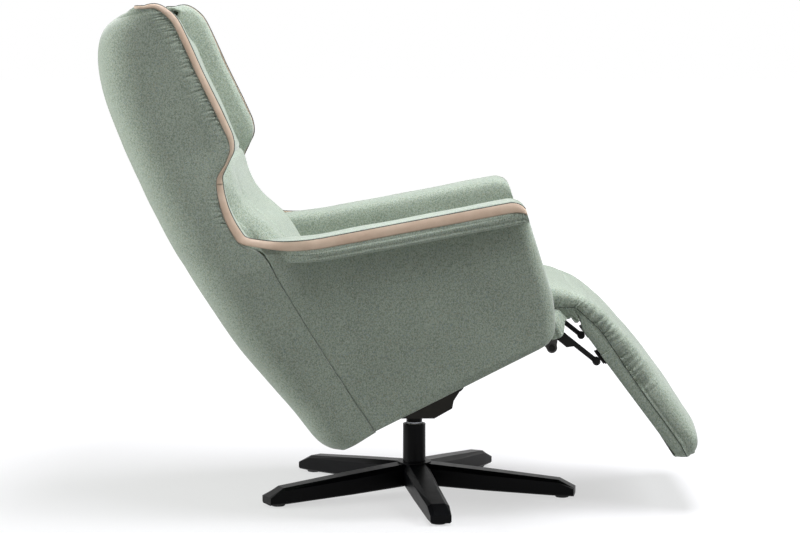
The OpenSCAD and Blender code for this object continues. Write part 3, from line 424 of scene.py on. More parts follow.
def new_material(name):
    material = bpy.data.materials.new(name)
    material.use_nodes = True
    tree = Tree(material.node_tree)
    tree.nodes.clear()
    return material, tree


def shaded(t, tone, height, roughness, bump, distance, sockets):
    """Ends a material in one Principled shader, whose constant values sit on its own sockets."""
    relief = t.add("ShaderNodeBump", {"Strength": bump, "Distance": distance, "Height": height})
    shader = t.add("ShaderNodeBsdfPrincipled", {
        "Base Color": tone, "Roughness": roughness, "Normal": relief.outputs[0], **sockets})
    t.add("ShaderNodeOutputMaterial", {"Surface": shader.outputs[0]})


def finish_of(name, group, values, bump, distance, sockets):
    material, t = new_material(name)
    out = t.add("ShaderNodeGroup", values, node_tree=group).outputs
    shaded(t, out["Color"], out["Height"], out["Roughness"], bump, distance, sockets)
    return material


def metal(name, tone, dusty, rough, bump, distance, level=0.5, peel=420.0, metallic=0.0):
    """Coated metal: its two tones, its range of roughness and the strength of its highlights."""
    values = {"Tone": colour(*tone), "Dusty tone": colour(*dusty), "Peel": peel,
              "Low rough": rough[0], "High rough": rough[1]}
    sockets = {"Specular IOR Level": level, "Metallic": metallic}
    return finish_of(name, METAL, values, bump, distance, sockets)


def grained(name, tone, worn, cells, rough, bump, distance, sheen=0.0):
    """Leather or plastic: its two tones, how many cells it has and its range of roughness."""
    values = {"Tone": colour(*tone), "Worn tone": colour(*worn), "Cells": cells,
              "Low rough": rough[0], "High rough": rough[1]}
    return finish_of(name, GRAIN, values, bump, distance, {"Sheen Weight": sheen})


wool = finish_of("wool_green", MELANGE, {}, 0.5, 0.0008, {"Sheen Weight": 0.35, "Sheen Roughness": 0.45})
thread = finish_of("seam_thread", MELANGE, {
    "Body": colour(58, 66, 57), "Dark fibre": colour(38, 44, 37), "Pale fibre": colour(80, 88, 79),
    "Grain": 2.0}, 0.3, 0.0004, {})
leather = grained("leather_tan", (188, 164, 141), (204, 183, 160), 700.0, (0.4, 0.6), 0.25, 0.0006, 0.05)
motor_black = grained("motor_black", (30, 30, 31), (44, 44, 46), 1100.0, (0.5, 0.68), 0.3, 0.0004)
glide_black = grained("glide_black", (26, 26, 27), (38, 38, 40), 900.0, (0.5, 0.7), 0.2, 0.0003)
bush_plastic = grained("bush_plastic", (188, 186, 178), (206, 204, 197), 800.0, (0.4, 0.6), 0.1, 0.0002)
base_black = metal("base_black", (3, 3, 4), (9, 10, 12), (0.3, 0.44), 0.12, 0.0003, 0.08)
spindle_black = metal("spindle_black", (4, 3, 2), (10, 9, 6), (0.3, 0.4), 0.1, 0.0002, 0.08)
bracket_dark = metal("bracket_dark", (26, 24, 17), (38, 35, 27), (0.42, 0.6), 0.2, 0.0004, 0.25)
frame_dark = metal("frame_dark", (38, 36, 33), (54, 52, 48), (0.45, 0.62), 0.2, 0.0004)
arm_black = metal("arm_black", (9, 9, 7), (20, 20, 17), (0.35, 0.5), 0.15, 0.0003, 0.15)
zinc_steel = metal("zinc_steel", (150, 152, 156), (176, 178, 182), (0.28, 0.42), 0.1, 0.0002,
                   peel=900.0, metallic=1.0)


def build_webbing():
    """Woven elastic webbing: crossed ribs with a small twill shift."""
    material, t = new_material("webbing_dark")
    where = t.where()
    ribs = t.add("ShaderNodeTexWave", {"Vector": where, "Scale": 190.0, "Distortion": 0.6})
    weft = t.add("ShaderNodeTexWave", {"Vector": where, "Scale": 260.0, "Distortion": 0.4},
                 bands_direction="Y")
    weave = t.times(ribs.outputs["Fac"], weft.outputs["Fac"])
    tone = t.mix(weave, colour(30, 30, 31), colour(72, 72, 73))
    shaded(t, tone, weave, t.ramp(weave, 0.0, 1.0, 0.9, 0.75), 0.5, 0.0008, {})
    return material


def build_birch():
    """Birch plywood: long faint grain and a few darker pores."""
    material, t = new_material("birch_ply")
    where = t.where()
    grain = t.noise(t.mapped(where, Scale=(2.0, 40.0, 22.0)), 5.0, 5.0, 0.6, 0.8)
    pores = t.noise(t.mapped(where, Scale=(30.0, 400.0, 400.0)), 3.0)
    tone = t.mix(t.ramp(grain, 0.3, 0.7), colour(196, 168, 126), colour(222, 200, 162))
    tone = t.mix(t.ramp(pores, 0.62, 0.72, 0.0, 0.4), tone, colour(150, 118, 80))
    shaded(t, tone, grain, t.ramp(grain, 0.3, 0.7, 0.5, 0.65), 0.2, 0.0004, {})
    return material


webbing_dark = build_webbing()
birch_ply = build_birch()

# The CAD nodes that stay in sight take their finishes here

NODE_FINISHES = [
    (base_black, "star_base column_tube"),
    (glide_black, "floor_glides"),
    (bush_plastic, "column_bushes tilt_bushes hinge_bushes"),
    (zinc_steel, "thrust_ring spindle_clip spindle_nut recline_pin recline_pin_clips recline_rod_pin "
                 "recline_motor_pin recline_rod frame_bolts board_screws"),
    (spindle_black, "swivel_spindle"),
    (bracket_dark, "swivel_bracket tilt_ears"),
    (frame_dark, "seat_rail_left seat_rail_right cross_tube_front cross_tube_middle cross_tube_rear "
                 "back_upright_left back_upright_right back_top_rail hinge_plates torque_tube"),
    (arm_black, "swing_arm_left swing_arm_right stop_bar knuckle_bolts slide_bars slide_channels"),
    (motor_black, "recline_motor legrest_motor"),
    (webbing_dark, "seat_webbing back_webbing"),
    (birch_ply, "side_frame_left side_frame_right"),
    (wool, "legrest_board"),
]
ROUNDED = {"star_base": 0.0016, "swivel_bracket": 0.0008, "column_tube": 0.0008,
           "legrest_board": 0.002, "swing_arm_left": 0.0008, "swing_arm_right": 0.0008,
           "legrest_motor": 0.002, "recline_motor": 0.002}
for finish, names in NODE_FINISHES:
    for name in names.split():
        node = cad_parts[name]
        node.data.materials.clear()
        node.data.materials.append(finish)
        if name in ROUNDED:
            edge = node.modifiers.new("edge", "BEVEL")
            edge.width = ROUNDED[name]
            edge.segments = 2
            edge.limit_method = "ANGLE"
            edge.angle_limit = math.radians(28)
            edge.harden_normals = True


# Helpers that put soft pieces, rolls and seams on the chair

def soft_piece(piece, node):
    """A padded wool piece of the chair that stands for a node."""
    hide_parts(node)
    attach(piece, "chair")


def wool_roll(name, line, radius, sides):
    """A soft roll on the chair, along a line of the upright drawing."""
    roll = cord_mesh(name, leaned(line), radius, wool, sides)
    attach(roll, "chair")


def chair_seam(name, line, radius=0.0008, sides=6):
    """A seam of thread on the chair, along a line of the upright drawing."""
    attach(cord_mesh(name, leaned(line), radius, thread, sides), "chair")


# Shell outline, as matching points up the back and along the side front

SIDE_HALF, WING_HALF, HEM_HALF, INNER_HALF, ARM_INNER = 350.0, 333.0, 334.0, 315.0, 263.0
HEM_Z, ARM_Z, TOP_Z = 232.0, 622.0, 1143.0
SEAM_TOP = 7


def levels(rows):
    """Outline points whose second number is a level: 0 is the hem, 1 the arms and 2 the top of the back."""
    rows = np.array(rows, float)
    rows[:, 1] = np.interp(rows[:, 1], [-1, 0, 1, 2], [2 * HEM_Z - ARM_Z, HEM_Z, ARM_Z, TOP_Z])
    return rows


REAR = levels([
    [-168, -0.07], [-192, -0.05], [-216, 0.01], [-246, 0.17], [-284, 0.36], [-326, 0.58], [-362, 0.84],
    [-386, 1.02], [-397, 1.09], [-406, 1.16], [-414, 1.23], [-421, 1.29], [-427, 1.36], [-433, 1.42],
    [-441, 1.52], [-448, 1.68], [-445, 1.8], [-434, 1.89], [-416, 1.95], [-390, 1.98], [-340, 2]])
EDGE = levels([
    [-86, 0], [-97, 0.09], [-108, 0.17], [-125, 0.31], [-146, 0.48], [-165, 0.65], [-186, 0.84],
    [-205, 1], [-238, 1.05], [-254, 1.13], [-259, 1.22], [-252, 1.31], [-227, 1.36], [-211, 1.42],
    [-219, 1.53], [-235, 1.69], [-245, 1.81], [-254, 1.9], [-264, 1.94], [-278, 1.97], [-297, 1.98]])
LAST = len(REAR) - 1


def half_width(z):
    """Half width of the shell at a height."""
    z = np.asarray(z, float)
    stops = [HEM_Z, ARM_Z - 30, ARM_Z + 60, ARM_Z + 220, TOP_Z]
    return np.interp(z, stops, [HEM_HALF, SIDE_HALF, SIDE_HALF - 4, WING_HALF, WING_HALF - 3])


def rear_at(t):
    return spline(REAR, t)


def edge_at(t):
    return spline(EDGE, t)


def across_line(reader, t, step=0.02):
    """Unit normal of an outline at t, pointing forward for a line that climbs."""
    d = unit(reader(np.minimum(t + step, LAST)) - reader(np.maximum(t - step, 0)))
    return np.stack([d[:, 1], -d[:, 0]], 1)


SIDE_STEPS, ARC_STEPS, BACK_STEPS = 22, 16, 10


def laid_out(start, way, places):
    """Points at each (distance along the way, half width), for courses that start at (x, z)."""
    far, y = np.stack([p[0] for p in places], 1), np.stack([p[1] for p in places], 1)
    return np.stack([start[:, :1] + way[:, :1] * far, y, start[:, 1:] + way[:, 1:] * far], -1)


def shell_course(t, inset, inner):
    """Courses round half the shell, from the side edge to the middle of the back, for each t."""
    t = np.asarray(t, float)
    grow = np.minimum(t / SEAM_TOP, 1)
    corner, crown = 95 * (0.45 + 0.55 * grow), 22 * (0.35 + 0.65 * grow)
    rear = rear_at(t) + inset[:, None] * across_line(rear_at, t)
    edge = edge_at(t)
    w = np.full(len(t), INNER_HALF) if inner else half_width(edge[:, 1])
    reach = edge - rear
    length = np.linalg.norm(reach, axis=1)
    way = reach / length[:, None]
    crown = np.minimum(crown, length * 0.3)
    corner = np.minimum(corner - inset, length - crown - 2)
    places = []
    for k in range(SIDE_STEPS):
        share = (k / SIDE_STEPS) ** 1.35
        places.append((length + (crown + corner - length) * share, w))
    for k in range(ARC_STEPS + 1):
        a = math.pi / 2 * k / ARC_STEPS
        places.append((crown + corner * (1 - math.sin(a)), w - corner + corner * math.cos(a)))
    for k in range(1, BACK_STEPS + 1):
        u = 1 - k / BACK_STEPS
        places.append((crown * u * u, (w - corner) * u))
    return laid_out(rear, way, places)


def whole_course(half):
    """Adds the mirrored half, so the course runs from the left edge round the back to the right edge."""
    other = half[:, -2::-1].copy()
    other[..., 1] *= -1
    return np.concatenate([half, other], 1)


# Gathers: short creases where the cloth is drawn in behind a leather band

def gather_depth(s, q, spots, rng_seed, wide):
    """Depth of the creases at s along the band and q behind it, in millimetres."""
    rng = random.Random(rng_seed)
    depth = np.zeros(np.broadcast(s, q).shape)
    for start, end, gap, reach, deep in spots:
        at = start
        while at < end:
            fade = max(min((at - start) / 30, (end - at) / 30, 1), 0.15)
            run = reach * rng.uniform(0.45, 1.25)
            width = wide * rng.uniform(1.3, 2.3)
            lean = rng.uniform(-0.25, 0.25)
            d = deep * rng.uniform(0.5, 1.1) * fade
            line = (s - at - lean * q) / width
            depth += d * np.exp(-line ** 2) * np.exp(-(q / run) ** 1.6) * (q > -0.5)
            at += gap * rng.uniform(0.6, 1.5)
    return depth


def sheet_normals(grid):
    return unit(np.cross(np.gradient(grid, axis=0), np.gradient(grid, axis=1)))


def rim_ring(outer, inner, radius):
    """Joins an outer and an inner line into one ring with rounded edges, for a paired tube."""
    def half(line, other):
        pieces = []
        for end, nxt, first in ((0, 1, True), (-1, -2, False)):
            out = unit(line[end] - line[nxt])
            thick = other[end] - line[end]
            depth = np.linalg.norm(thick)
            r = min(radius, depth * 0.45)
            thick = thick / max(depth, 1e-6)
            centre = line[end] - r * out + r * thick
            turns = [math.radians(turn) for turn in (0, 30, 60, 90)]
            arc = [centre + r * (math.sin(a) * out - math.cos(a) * thick) for a in turns]
            pieces.append(arc[::-1] if first else arc)
        return np.array(pieces[0] + list(line[1:-1]) + pieces[1])
    return np.concatenate([half(outer, inner), half(inner, outer)[::-1]])


def thick_cover(name, outer, inner, finish, radius, end_round):
    """A cover between an outer and an inner surface of the upright drawing, with rounded edges."""
    rings = [rim_ring(line, other, radius) for line, other in zip(outer, inner)]
    return paired_tube(name, leaned(rings), finish, end_round * MM)


def edge_run(t):
    """Length of the side edge from the hem up to t."""
    return np.interp(t, np.arange(LAST + 1), along(EDGE))


def shell_rows():
    """Rows of the shell, close together where the cloth is gathered."""
    stops, look = [0.0], 0.02
    while stops[-1] <= LAST - look:
        t = stops[-1]
        step = 1.3 if (12.6 < t < 19.8 or 8.0 < t < 11.2) else 7.0
        stops.append(t + step * look / max(edge_run(t + look) - edge_run(t), 1e-6))
    stops[-1] = LAST
    return np.array(stops)


ROWS = shell_rows()
EDGE_RUN = edge_run(ROWS)
EAR_START, EAR_END, WAIST_START, WAIST_END = edge_run([13.2, 19.6, 8.4, 10.6])


def back_cover():
    thick = 28 * (0.6 + 0.4 * np.minimum(ROWS / SEAM_TOP, 1))
    outer = shell_course(ROWS, np.zeros(len(ROWS)), False)
    inner = whole_course(shell_course(ROWS, thick, True))
    far = np.linalg.norm(outer - outer[:, :1], axis=2)
    creases = gather_depth(EDGE_RUN[:, None], far, [
        (EAR_START, EAR_END, 6.2, 15, 3.4), (WAIST_START, WAIST_END, 7, 13, 2.8)], 11, 0.95)
    swell = 1.2 * ripple(outer, 150, 3) * np.minimum(far / 60, 1)
    pillow = 1.8 * np.exp(-((far - 22) / 16) ** 2) * smooth_step((EDGE_RUN - WAIST_START) / 60)[:, None]
    normal = sheet_normals(outer)
    normal *= np.sign(normal[len(ROWS) // 2, 5, 1])
    outer = outer + normal * (swell + pillow - creases)[..., None]
    outer[:, -1, 1] = 0
    cover = thick_cover("back_cover", whole_course(outer), inner, wool, 2.4, 3.0)
    soft_piece(cover, "back_shell")


back_cover()

# Side panels, from the side seam round the front corner

ARM_SLOPE, ARM_DROP, ARM_FRONT = math.radians(4.4), 24.0, 306.0
PAD_H, ARM_OVER, ARM_BACK, PANEL_T = 46.0, 23.0, -194.0, 15.0
FRONT = levels([[286, 0.2], [299, 0.24], [307, 0.31], [313, 0.41], [313, 0.51], [311, 0.61], [309, 0.71]])


def arm_line(x):
    """Height of the arm above its overhanging strip, less steep towards the waist."""
    x = np.asarray(x, float)
    return ARM_Z - 18 - (x + 36) * math.tan(ARM_SLOPE) + 7 * smooth_step((-70 - x) / 120)


def under_arm(x):
    """Height of the panel's top, just below the arm."""
    return arm_line(x) - ARM_DROP - 0.3


def panel_courses(rows, inner):
    """Courses of a side panel: along the side, round its front corner and in towards the leg rest."""
    top = under_arm(-196)
    share = (top - EDGE[6][1]) / (EDGE[7][1] - EDGE[6][1])
    back = np.concatenate([EDGE[:7], [EDGE[6] + (EDGE[7] - EDGE[6]) * share]])
    front = np.concatenate([FRONT, [[ARM_FRONT + 1, under_arm(ARM_FRONT + 1)]]])
    s, f = spline(back, rows), spline(front, rows)
    length = np.linalg.norm(f - s, axis=1)
    way = (f - s) / length[:, None]
    r = 11.0 if inner else 26.0
    stop = length - PANEL_T if inner else length
    y = np.full(len(rows), INNER_HALF) if inner else half_width(s[:, 1])
    places = [((stop - r) * k / 26, y) for k in range(26)]
    for k in range(13):
        a = math.pi / 2 * k / 12
        places.append((stop - r + r * math.sin(a), y - r + r * math.cos(a)))
    for k in (0.25, 0.5, 0.75, 1):
        places.append((stop, (y - r) * (1 - k) + (ARM_INNER + 0.5) * k))
    course = laid_out(s, way, places)
    course[..., 2] += 20 * smooth_step(rows[:, None] - 6) * smooth_step((-128 - course[..., 0]) / 30)
    return course


def mirrored(points, left):
    """The same points for the left side, or mirrored for the right one."""
    points = np.array(points, float)
    if not left:
        points[..., 1] *= -1
    return points


for side, left in SIDES:
    rows = np.linspace(0.06, 7, 90)
    outer = panel_courses(rows, False)
    inner = panel_courses(rows, True)
    normal = sheet_normals(outer)
    normal *= np.sign(normal[20, 5, 1])
    inset = np.minimum(np.arange(outer.shape[1]) / 6, 1) * np.minimum(np.arange(len(rows)) / 8, 1)[:, None]
    belly = 3.0 * np.sin(math.pi * np.linspace(0, 1, outer.shape[1])) ** 0.8
    outer = outer + normal * (inset * (1.3 * ripple(outer, 170, 5) + belly))[..., None]
    panel = thick_cover(f"side_cover_{side}", mirrored(outer, left), mirrored(inner, left), wool, 2.0, 2.0)
    soft_piece(panel, f"side_panel_{side}")

# Arms

ARM_PLEATS = [(272, -0.5), (283, -0.35), (292, -0.2), (300, -0.1)]
ARM_NOSE, RING_COUNT, BAND_RISE = 30.0, 72, 17.63


def arm_half(x):
    """Half width over the arms: they swing out from the shell to their overhang."""
    return SIDE_HALF - 1.5 + (ARM_OVER + 1.5) * smooth_step((x - ARM_BACK - 16) / 78)


def arm_section(x, end, shear):
    """Points round the arm at x. The band lies between the fourth and the fifth."""
    w, i, h = arm_half(x), ARM_INNER, PAD_H - ARM_DROP
    s = 0.45 + 0.55 * end
    low = arm_line(x) - ARM_DROP
    ring = np.array([
        [w - 9, -3], [w - 0.5, ARM_DROP * 0.26], [w, ARM_DROP * 0.62], [w - 1, ARM_DROP - 2],
        [w - 7, ARM_DROP + BAND_RISE], [w - 32, ARM_DROP + h * 0.95], [(w + i) / 2, ARM_DROP + h],
        [i + 26, ARM_DROP + h * 0.9], [i + 9, ARM_DROP + h * 0.55], [i + 2, ARM_DROP * 0.9],
        [i - 0.6, -4], [i - 1, -22], [i + 4, -26], [i + 14, -6]])
    return np.stack([x + shear * ring[:, 1], ring[:, 0], low + ring[:, 1] * s], 1)


def arm_ring(x, end, shear):
    """One closed ring of the arm, pressed flat where the leather band lies on it."""
    section = arm_section(x, end, shear)
    ring = closed_spline(section, RING_COUNT)
    at = np.arange(RING_COUNT) * len(section) / RING_COUNT
    under = (at > 3) & (at < 4)
    ring[under] = section[3] + (section[4] - section[3]) * (at[under] - 3)[:, None]
    return ring


def arm_stations():
    """Places along the arm, with the share of its height and the lean of the section, round its nose."""
    stations = []
    straight = ARM_FRONT - ARM_NOSE
    for k in range(121):
        share = k / 120
        stations.append((ARM_BACK + (straight - ARM_BACK) * share, 1.0, -0.31 * (1 - share) ** 2))
    for turn in np.linspace(6, 90, 18):
        a = math.radians(turn)
        stations.append((straight + ARM_NOSE * math.sin(a), max(math.cos(a), 0.0), 0.0))
    return stations


for side, left in SIDES:
    rings = np.array([arm_ring(*station) for station in arm_stations()])
    middle = rings.mean(1, keepdims=True)
    out = unit((rings - middle) * [0, 1, 1])
    free = 1 - np.exp(-((np.arange(RING_COUNT) * 14 / RING_COUNT - 3.5) / 0.6) ** 4)
    swell = 0.8 * ripple(rings, 90, 8) * free
    x, y, z = rings[..., 0], rings[..., 1], rings[..., 2]
    share = np.clip((x - ARM_BACK) / (ARM_FRONT - ARM_BACK), 0, 1)
    strip = smooth_step((y - arm_half(x) + 12) / 8) * (z < middle[..., 2])
    belly = 2.2 * np.sin(math.pi * share) * strip
    above = z - arm_line(x) + ARM_DROP
    pleats = sum(np.exp(-((x - at + lean * above) / 2.4) ** 2) for at, lean in ARM_PLEATS)
    fade = smooth_step((y - ARM_INNER - 50) / 30)
    rings = rings + out * (swell + belly * free - 1.9 * pleats * fade)[..., None]
    pad = plain_tube(f"arm_roll_{side}", leaned(mirrored(rings, left)), wool)
    soft_piece(pad, f"arm_pad_{side}")

# Leather band: one strip along both arms, up the waist and the ears, and over the top

BAND_W, BAND_T, BAND_STEPS = 17.0, 3.5, 8
BAND_TURNS = [8.1, 9.2, 10.3, 10.9, 11.35, 11.8, 12.3, 12.8, 13.4, 14, LAST - 3, LAST - 2, LAST - 1, LAST]
BAND_SHARES = [1, 0.92, 0.8, 0.7, 0.45, 0.26, 0.28, 0.46, 0.68, 0.74, 0.74, 0.7, 0.58, 0.42]


def even(lines, step):
    """The same lines, read again at even steps along the first of them."""
    run = along(lines[0])
    count = max(int(run[-1] / step), 2)
    at = np.interp(np.linspace(0, run[-1], count), run, np.arange(len(run)))
    return [spline(line, at) for line in lines]


def edge_frame(t):
    """Corner points of the shell's side edge and the way forward from them."""
    e = edge_at(t)
    d = across_line(edge_at, t)
    corner = np.stack([e[:, 0], half_width(e[:, 1]), e[:, 1]], 1)
    return corner, np.stack([d[:, 0], 0 * d[:, 0], d[:, 1]], 1)


def arm_band_lines():
    """Lower and upper line of the band on an arm, from the nose back to the waist."""
    rings = [arm_section(x, end, shear) for x, end, shear in arm_stations()[::-1] if x > -158 and end > 0.2]
    return np.array([ring[3] for ring in rings]), np.array([ring[4] for ring in rings])


def top_rim(skip):
    """Half of the shell's top edge and the level way in from it."""
    row = shell_course([LAST], np.zeros(1), False)[0][skip:]
    way = unit(np.gradient(row, axis=0))
    inward = unit(np.stack([-way[:, 1], way[:, 0], 0 * way[:, 0]], 1))
    return row, inward * np.sign(inward[-1, 0])


def band_lines():
    """The band's outer line, inner line and outward way, for half the chair."""
    low, high = arm_band_lines()
    across = unit(high - low)
    out_arm = np.stack([0 * across[:, 0], across[:, 2], -across[:, 1]], 1)
    t = np.arange(8.1, LAST + 0.01, 0.25)
    corner, ahead = edge_frame(t)
    wide = BAND_W * np.interp(t, BAND_TURNS, BAND_SHARES)[:, None]
    level = np.array([0.0, 1.0, 0.0])
    a_shell, b_shell = corner + 0.4 * ahead, corner + wide * ahead - 7.5 * level * wide / BAND_W
    out_shell = unit(level + 0.44 * ahead)
    row, inward = top_rim(1)
    share = smooth_step(along(row) / 70)[:, None]
    f = unit((1 - share) * ahead[-1] + share * (0.8 * inward - [0, 0, 0.6]))
    out_top = unit((1 - share) * out_shell[-1] + share * ([0, 0, 0.8] + 0.6 * inward))
    a_top = row + (0.4 + 1.2 * share) * f - [0, 0, 1.2] * share
    b_top = a_top + BAND_W * (0.42 + 0.2 * share) * f - 3.2 * (1 - share) * out_top
    groups = ((low, a_shell, a_top), (high, b_shell, b_top), (out_arm, out_shell, out_top))
    lines = even([np.concatenate(group) for group in groups], 3.5)
    near = np.exp(-((along(lines[0]) - along(low)[-1] - 25) / 45) ** 2)[:, None]
    for turn in range(60):
        for k, line in enumerate(lines):
            middle = line.copy()
            middle[1:-1] = (line[:-2] + line[2:]) / 2
            lines[k] = line + near * (middle - line)
    return lines


def both_halves(line):
    """A line that ends in the middle of the chair, and its mirror image."""
    other = line[::-1].copy()
    other[:, 1] *= -1
    return np.concatenate([line[:-1], other[1:]])


def band_grid(a, b, out, lift, bow):
    """Points across the band, lifted off its lines and bowed a little."""
    k = np.linspace(0, 1, BAND_STEPS)[None, :, None]
    rise = lift + bow * (1 - (2 * k - 1) ** 2)
    return a[:, None] + (b - a)[:, None] * k + out[:, None] * rise


BAND_A, BAND_B, band_out = [both_halves(line) for line in band_lines()]
BAND_OUT = unit(band_out)


def leather_band():
    """The band, the two places where its pieces meet, a dark cord along its inner edge that is piping and
    also paints the shade of the groove there, and the welt behind it on the ears.
    """
    lines = [BAND_A, BAND_B, BAND_OUT]
    outer = band_grid(*lines, 1.1, 1.3)
    inner = band_grid(*lines, 1.1 - BAND_T, 0)
    band = thick_cover("leather_band", outer, inner, leather, 1.2, 1.2)
    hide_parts("wing_trim", "arm_trim_left", "arm_trim_right")
    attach(band, "chair")
    for sign, side in ((1, "left"), (-1, "right")):
        k = int(np.argmin(np.abs(BAND_A[:, 2] - 776) + 1000 * (BAND_A[:, 1] * sign < 0)))
        chair_seam(f"band_join_{side}", band_grid(*lines, 1.3, 1.4)[k], 0.0005)
    # painted shade: this dark thread-coloured cord along the band's inner edge stands for the piping and for
    # the shade in the groove beside it
    chair_seam("band_piping_and_shade", BAND_B + 0.2 * BAND_OUT, 0.0013, 8)
    behind = BAND_A + 3.2 * unit(BAND_B - BAND_A) - 4.2 * BAND_OUT
    wool_roll("band_welt", behind[BAND_A[:, 2] > 805], 0.0045, 12)


leather_band()


def head_roll():
    """A soft roll behind the band that closes the shell above the head cushion, and its filled corners."""
    row, inward = top_rim(0)
    line = (row + 15 * inward - [0, 0, 18])[row[:, 1] < 320]
    corner = line[np.argmin(np.abs(line[:, 1] - 240))] * [1, 0, 1] + [0, 263, 0]
    corner = corner + [[-8, 0, 0], [-7, 0, -16], [-8, 0, -34], [-11, 1, -56], [-15, 2, -84]]
    for side, left in SIDES:
        wool_roll(f"head_corner_{side}", mirrored(corner, left), 0.016, 18)
    line, = even([both_halves(line)], 6)
    wool_roll("head_roll", line, 0.012, 18)


head_roll()

# Head wing pads, arm linings and cushions


def remeshed(name, node, voxel):
    """A copy of a node's solid with small even faces."""
    obj = bpy.data.objects.new(name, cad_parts[node].data.copy())
    bpy.context.collection.objects.link(obj)
    step = obj.modifiers.new("even", "REMESH")
    step.mode = "VOXEL"
    step.voxel_size = voxel
    return applied(obj)


def applied(obj):
    """Applies the modifiers by taking the shape that they give."""
    bpy.context.view_layer.update()
    shape = bpy.data.meshes.new_from_object(obj.evaluated_get(bpy.context.evaluated_depsgraph_get()))
    obj.modifiers.clear()
    obj.data = shape
    return obj


def vertex_values(obj, key):
    values = np.empty(len(obj.data.vertices) * 3)
    obj.data.vertices.foreach_get(key, values)
    return values.reshape(-1, 3)


def co_of(obj):
    return vertex_values(obj, "co")


def normals_of(obj):
    return vertex_values(obj, "normal")


def put_co(obj, co):
    obj.data.vertices.foreach_set("co", np.asarray(co, float).ravel())
    obj.data.update()


def evened(obj, rounds):
    """Smooths the small steps that the remesh leaves."""
    obj.modifiers.new("soften", "SMOOTH").iterations = rounds
    return applied(obj)


CLOTH = {"quality": 5, "mass": 0.3, "tension_stiffness": 22, "compression_stiffness": 22,
         "bending_stiffness": 0.6, "use_pressure": True}


def puffed(obj, cap, pressure):
    """Swells a closed pad like a filled cover, with no point moving further than the cap."""
    before = co_of(obj)
    cloth = obj.modifiers.new("fill", "CLOTH").settings
    for key, value in CLOTH.items():
        setattr(cloth, key, value)
    cloth.uniform_pressure_force = pressure
    cloth.effector_weights.gravity = 0
    scene = bpy.context.scene
    for number in range(1, 21):
        scene.frame_set(number)
    applied(obj)
    scene.frame_set(1)
    move = co_of(obj) - before
    far = np.linalg.norm(move, axis=1, keepdims=True)
    put_co(obj, before + move * np.minimum(1, cap / np.maximum(far, 1e-9)))


def finished(obj):
    """Gives a pad its smooth wool."""
    obj.data.materials.clear()
    obj.data.materials.append(wool)
    obj.data.polygons.foreach_set("use_smooth", [True] * len(obj.data.polygons))
    return obj


def cushion(name, node, place, share, cap, change):
    """A pad worked out from its node: shrunk a little, filled, made finer and sewn.

    The cover holds the filling back, so each point moves by its share only."""
    obj = remeshed(name, node, 0.0055)
    evened(obj, 6)
    put_co(obj, co_of(obj) - normals_of(obj) * 0.004)
    before = co_of(obj)
    held = share(in_frame(before, *place))[:, None]
    puffed(obj, cap, 4.0)
    put_co(obj, before + (co_of(obj) - before) * held)
    step = obj.modifiers.new("finer", "SUBSURF")
    step.levels = step.render_levels = 1
    finished(applied(obj))
    shape_in(obj, place, change)
    soft_piece(obj, node)


def groove(distance, width, depth):
    """Depth of a sewn groove at a distance from its line."""
    return depth * np.exp(-(distance / width) ** 2)


def shape_in(obj, place, change):
    """Moves points along their normals by change(points), read in a tilted part frame, in millimetres."""
    co = co_of(obj)
    put_co(obj, co + normals_of(obj) * (change(in_frame(co, *place)) * MM)[:, None])


SEAT_PLACE = (PIVOT_X, FRAME_Z, -SEAT_SLOPE)
BACK_PLACE = (BACK_X, BACK_Z, -BACK_TILT)
LEG_PLACE = (HINGE_X, HINGE_Z, LEG_TILT)
DRAWING = (0.0, 0.0, 0.0)


def back_seams(p):
    """Neck seam, two long channels below it and a slow swell."""
    x, y, z = p[:, 0], np.abs(p[:, 1]), p[:, 2]
    front = smooth_step((x - 20) / 30)
    neck = groove(z - 488, 6, 5.5)
    channel = groove(y - 172, 11, 3.4) * smooth_step((470 - z) / 60) * smooth_step((z - 110) / 50)
    folds = 1.4 * np.sin(z / 7.5 + 1.3 * ripple(p, 90, 31)) * np.exp(-((y - 185) / 26) ** 2) \
        * np.exp(-((z - 430) / 60) ** 2)
    head = 9 * smooth_step((z - 640) / 90) * smooth_step((806 - z) / 50)
    low = smooth_step((455 - z) / 50) * smooth_step((z - 90) / 40)
    crest = low * (3.5 * np.exp(-((y - 218) / 24) ** 2) - 15 * smooth_step((y - 232) / 62))
    hollow = 14 * np.exp(-((z - 392) / 56) ** 2)
    return front * (1.4 * ripple(p, 130, 32) + folds + head + crest - neck - channel - hollow)


def seat_seams(p):
    """The seam along each side of the seat, small wrinkles beside it and a slow swell."""
    x, y, z = p[:, 0], np.abs(p[:, 1]), p[:, 2]
    top = smooth_step((z - 60) / 20)
    side = groove(y - 212, 4.5, 3.0) * smooth_step((x + 150) / 40)
    wrinkle = 0.9 * np.sin(x / 8 + 1.8 * ripple(p, 70, 41)) * np.exp(-((y - 226) / 16) ** 2)
    return top * (1.6 * ripple(p, 140, 42) + wrinkle - side)


def back_share(p):
    """The back swells most at the neck, less behind the head and little in the hollow above the seat."""
    x, z = p[:, 0], p[:, 2]
    front = smooth_step((x - 15) / 30)
    neck = 0.36 * np.exp(-((z - 478) / 62) ** 2)
    head = np.interp(z, [400, 500, 575, 650, 720, 760, 790], [0.2, 0.3, 0.4, 0.7, 0.9, 0.7, 0.1])
    return np.maximum(head, neck) * front + 0.1


def seat_share(p):
    """The seat swells more on top than at its sides."""
    return 0.25 + 0.55 * smooth_step((p[:, 2] - 50) / 30)


cushion("back_pad", "back_cushion", BACK_PLACE, back_share, 0.028, back_seams)
cushion("seat_pad", "seat_cushion", SEAT_PLACE, seat_share, 0.022, seat_seams)


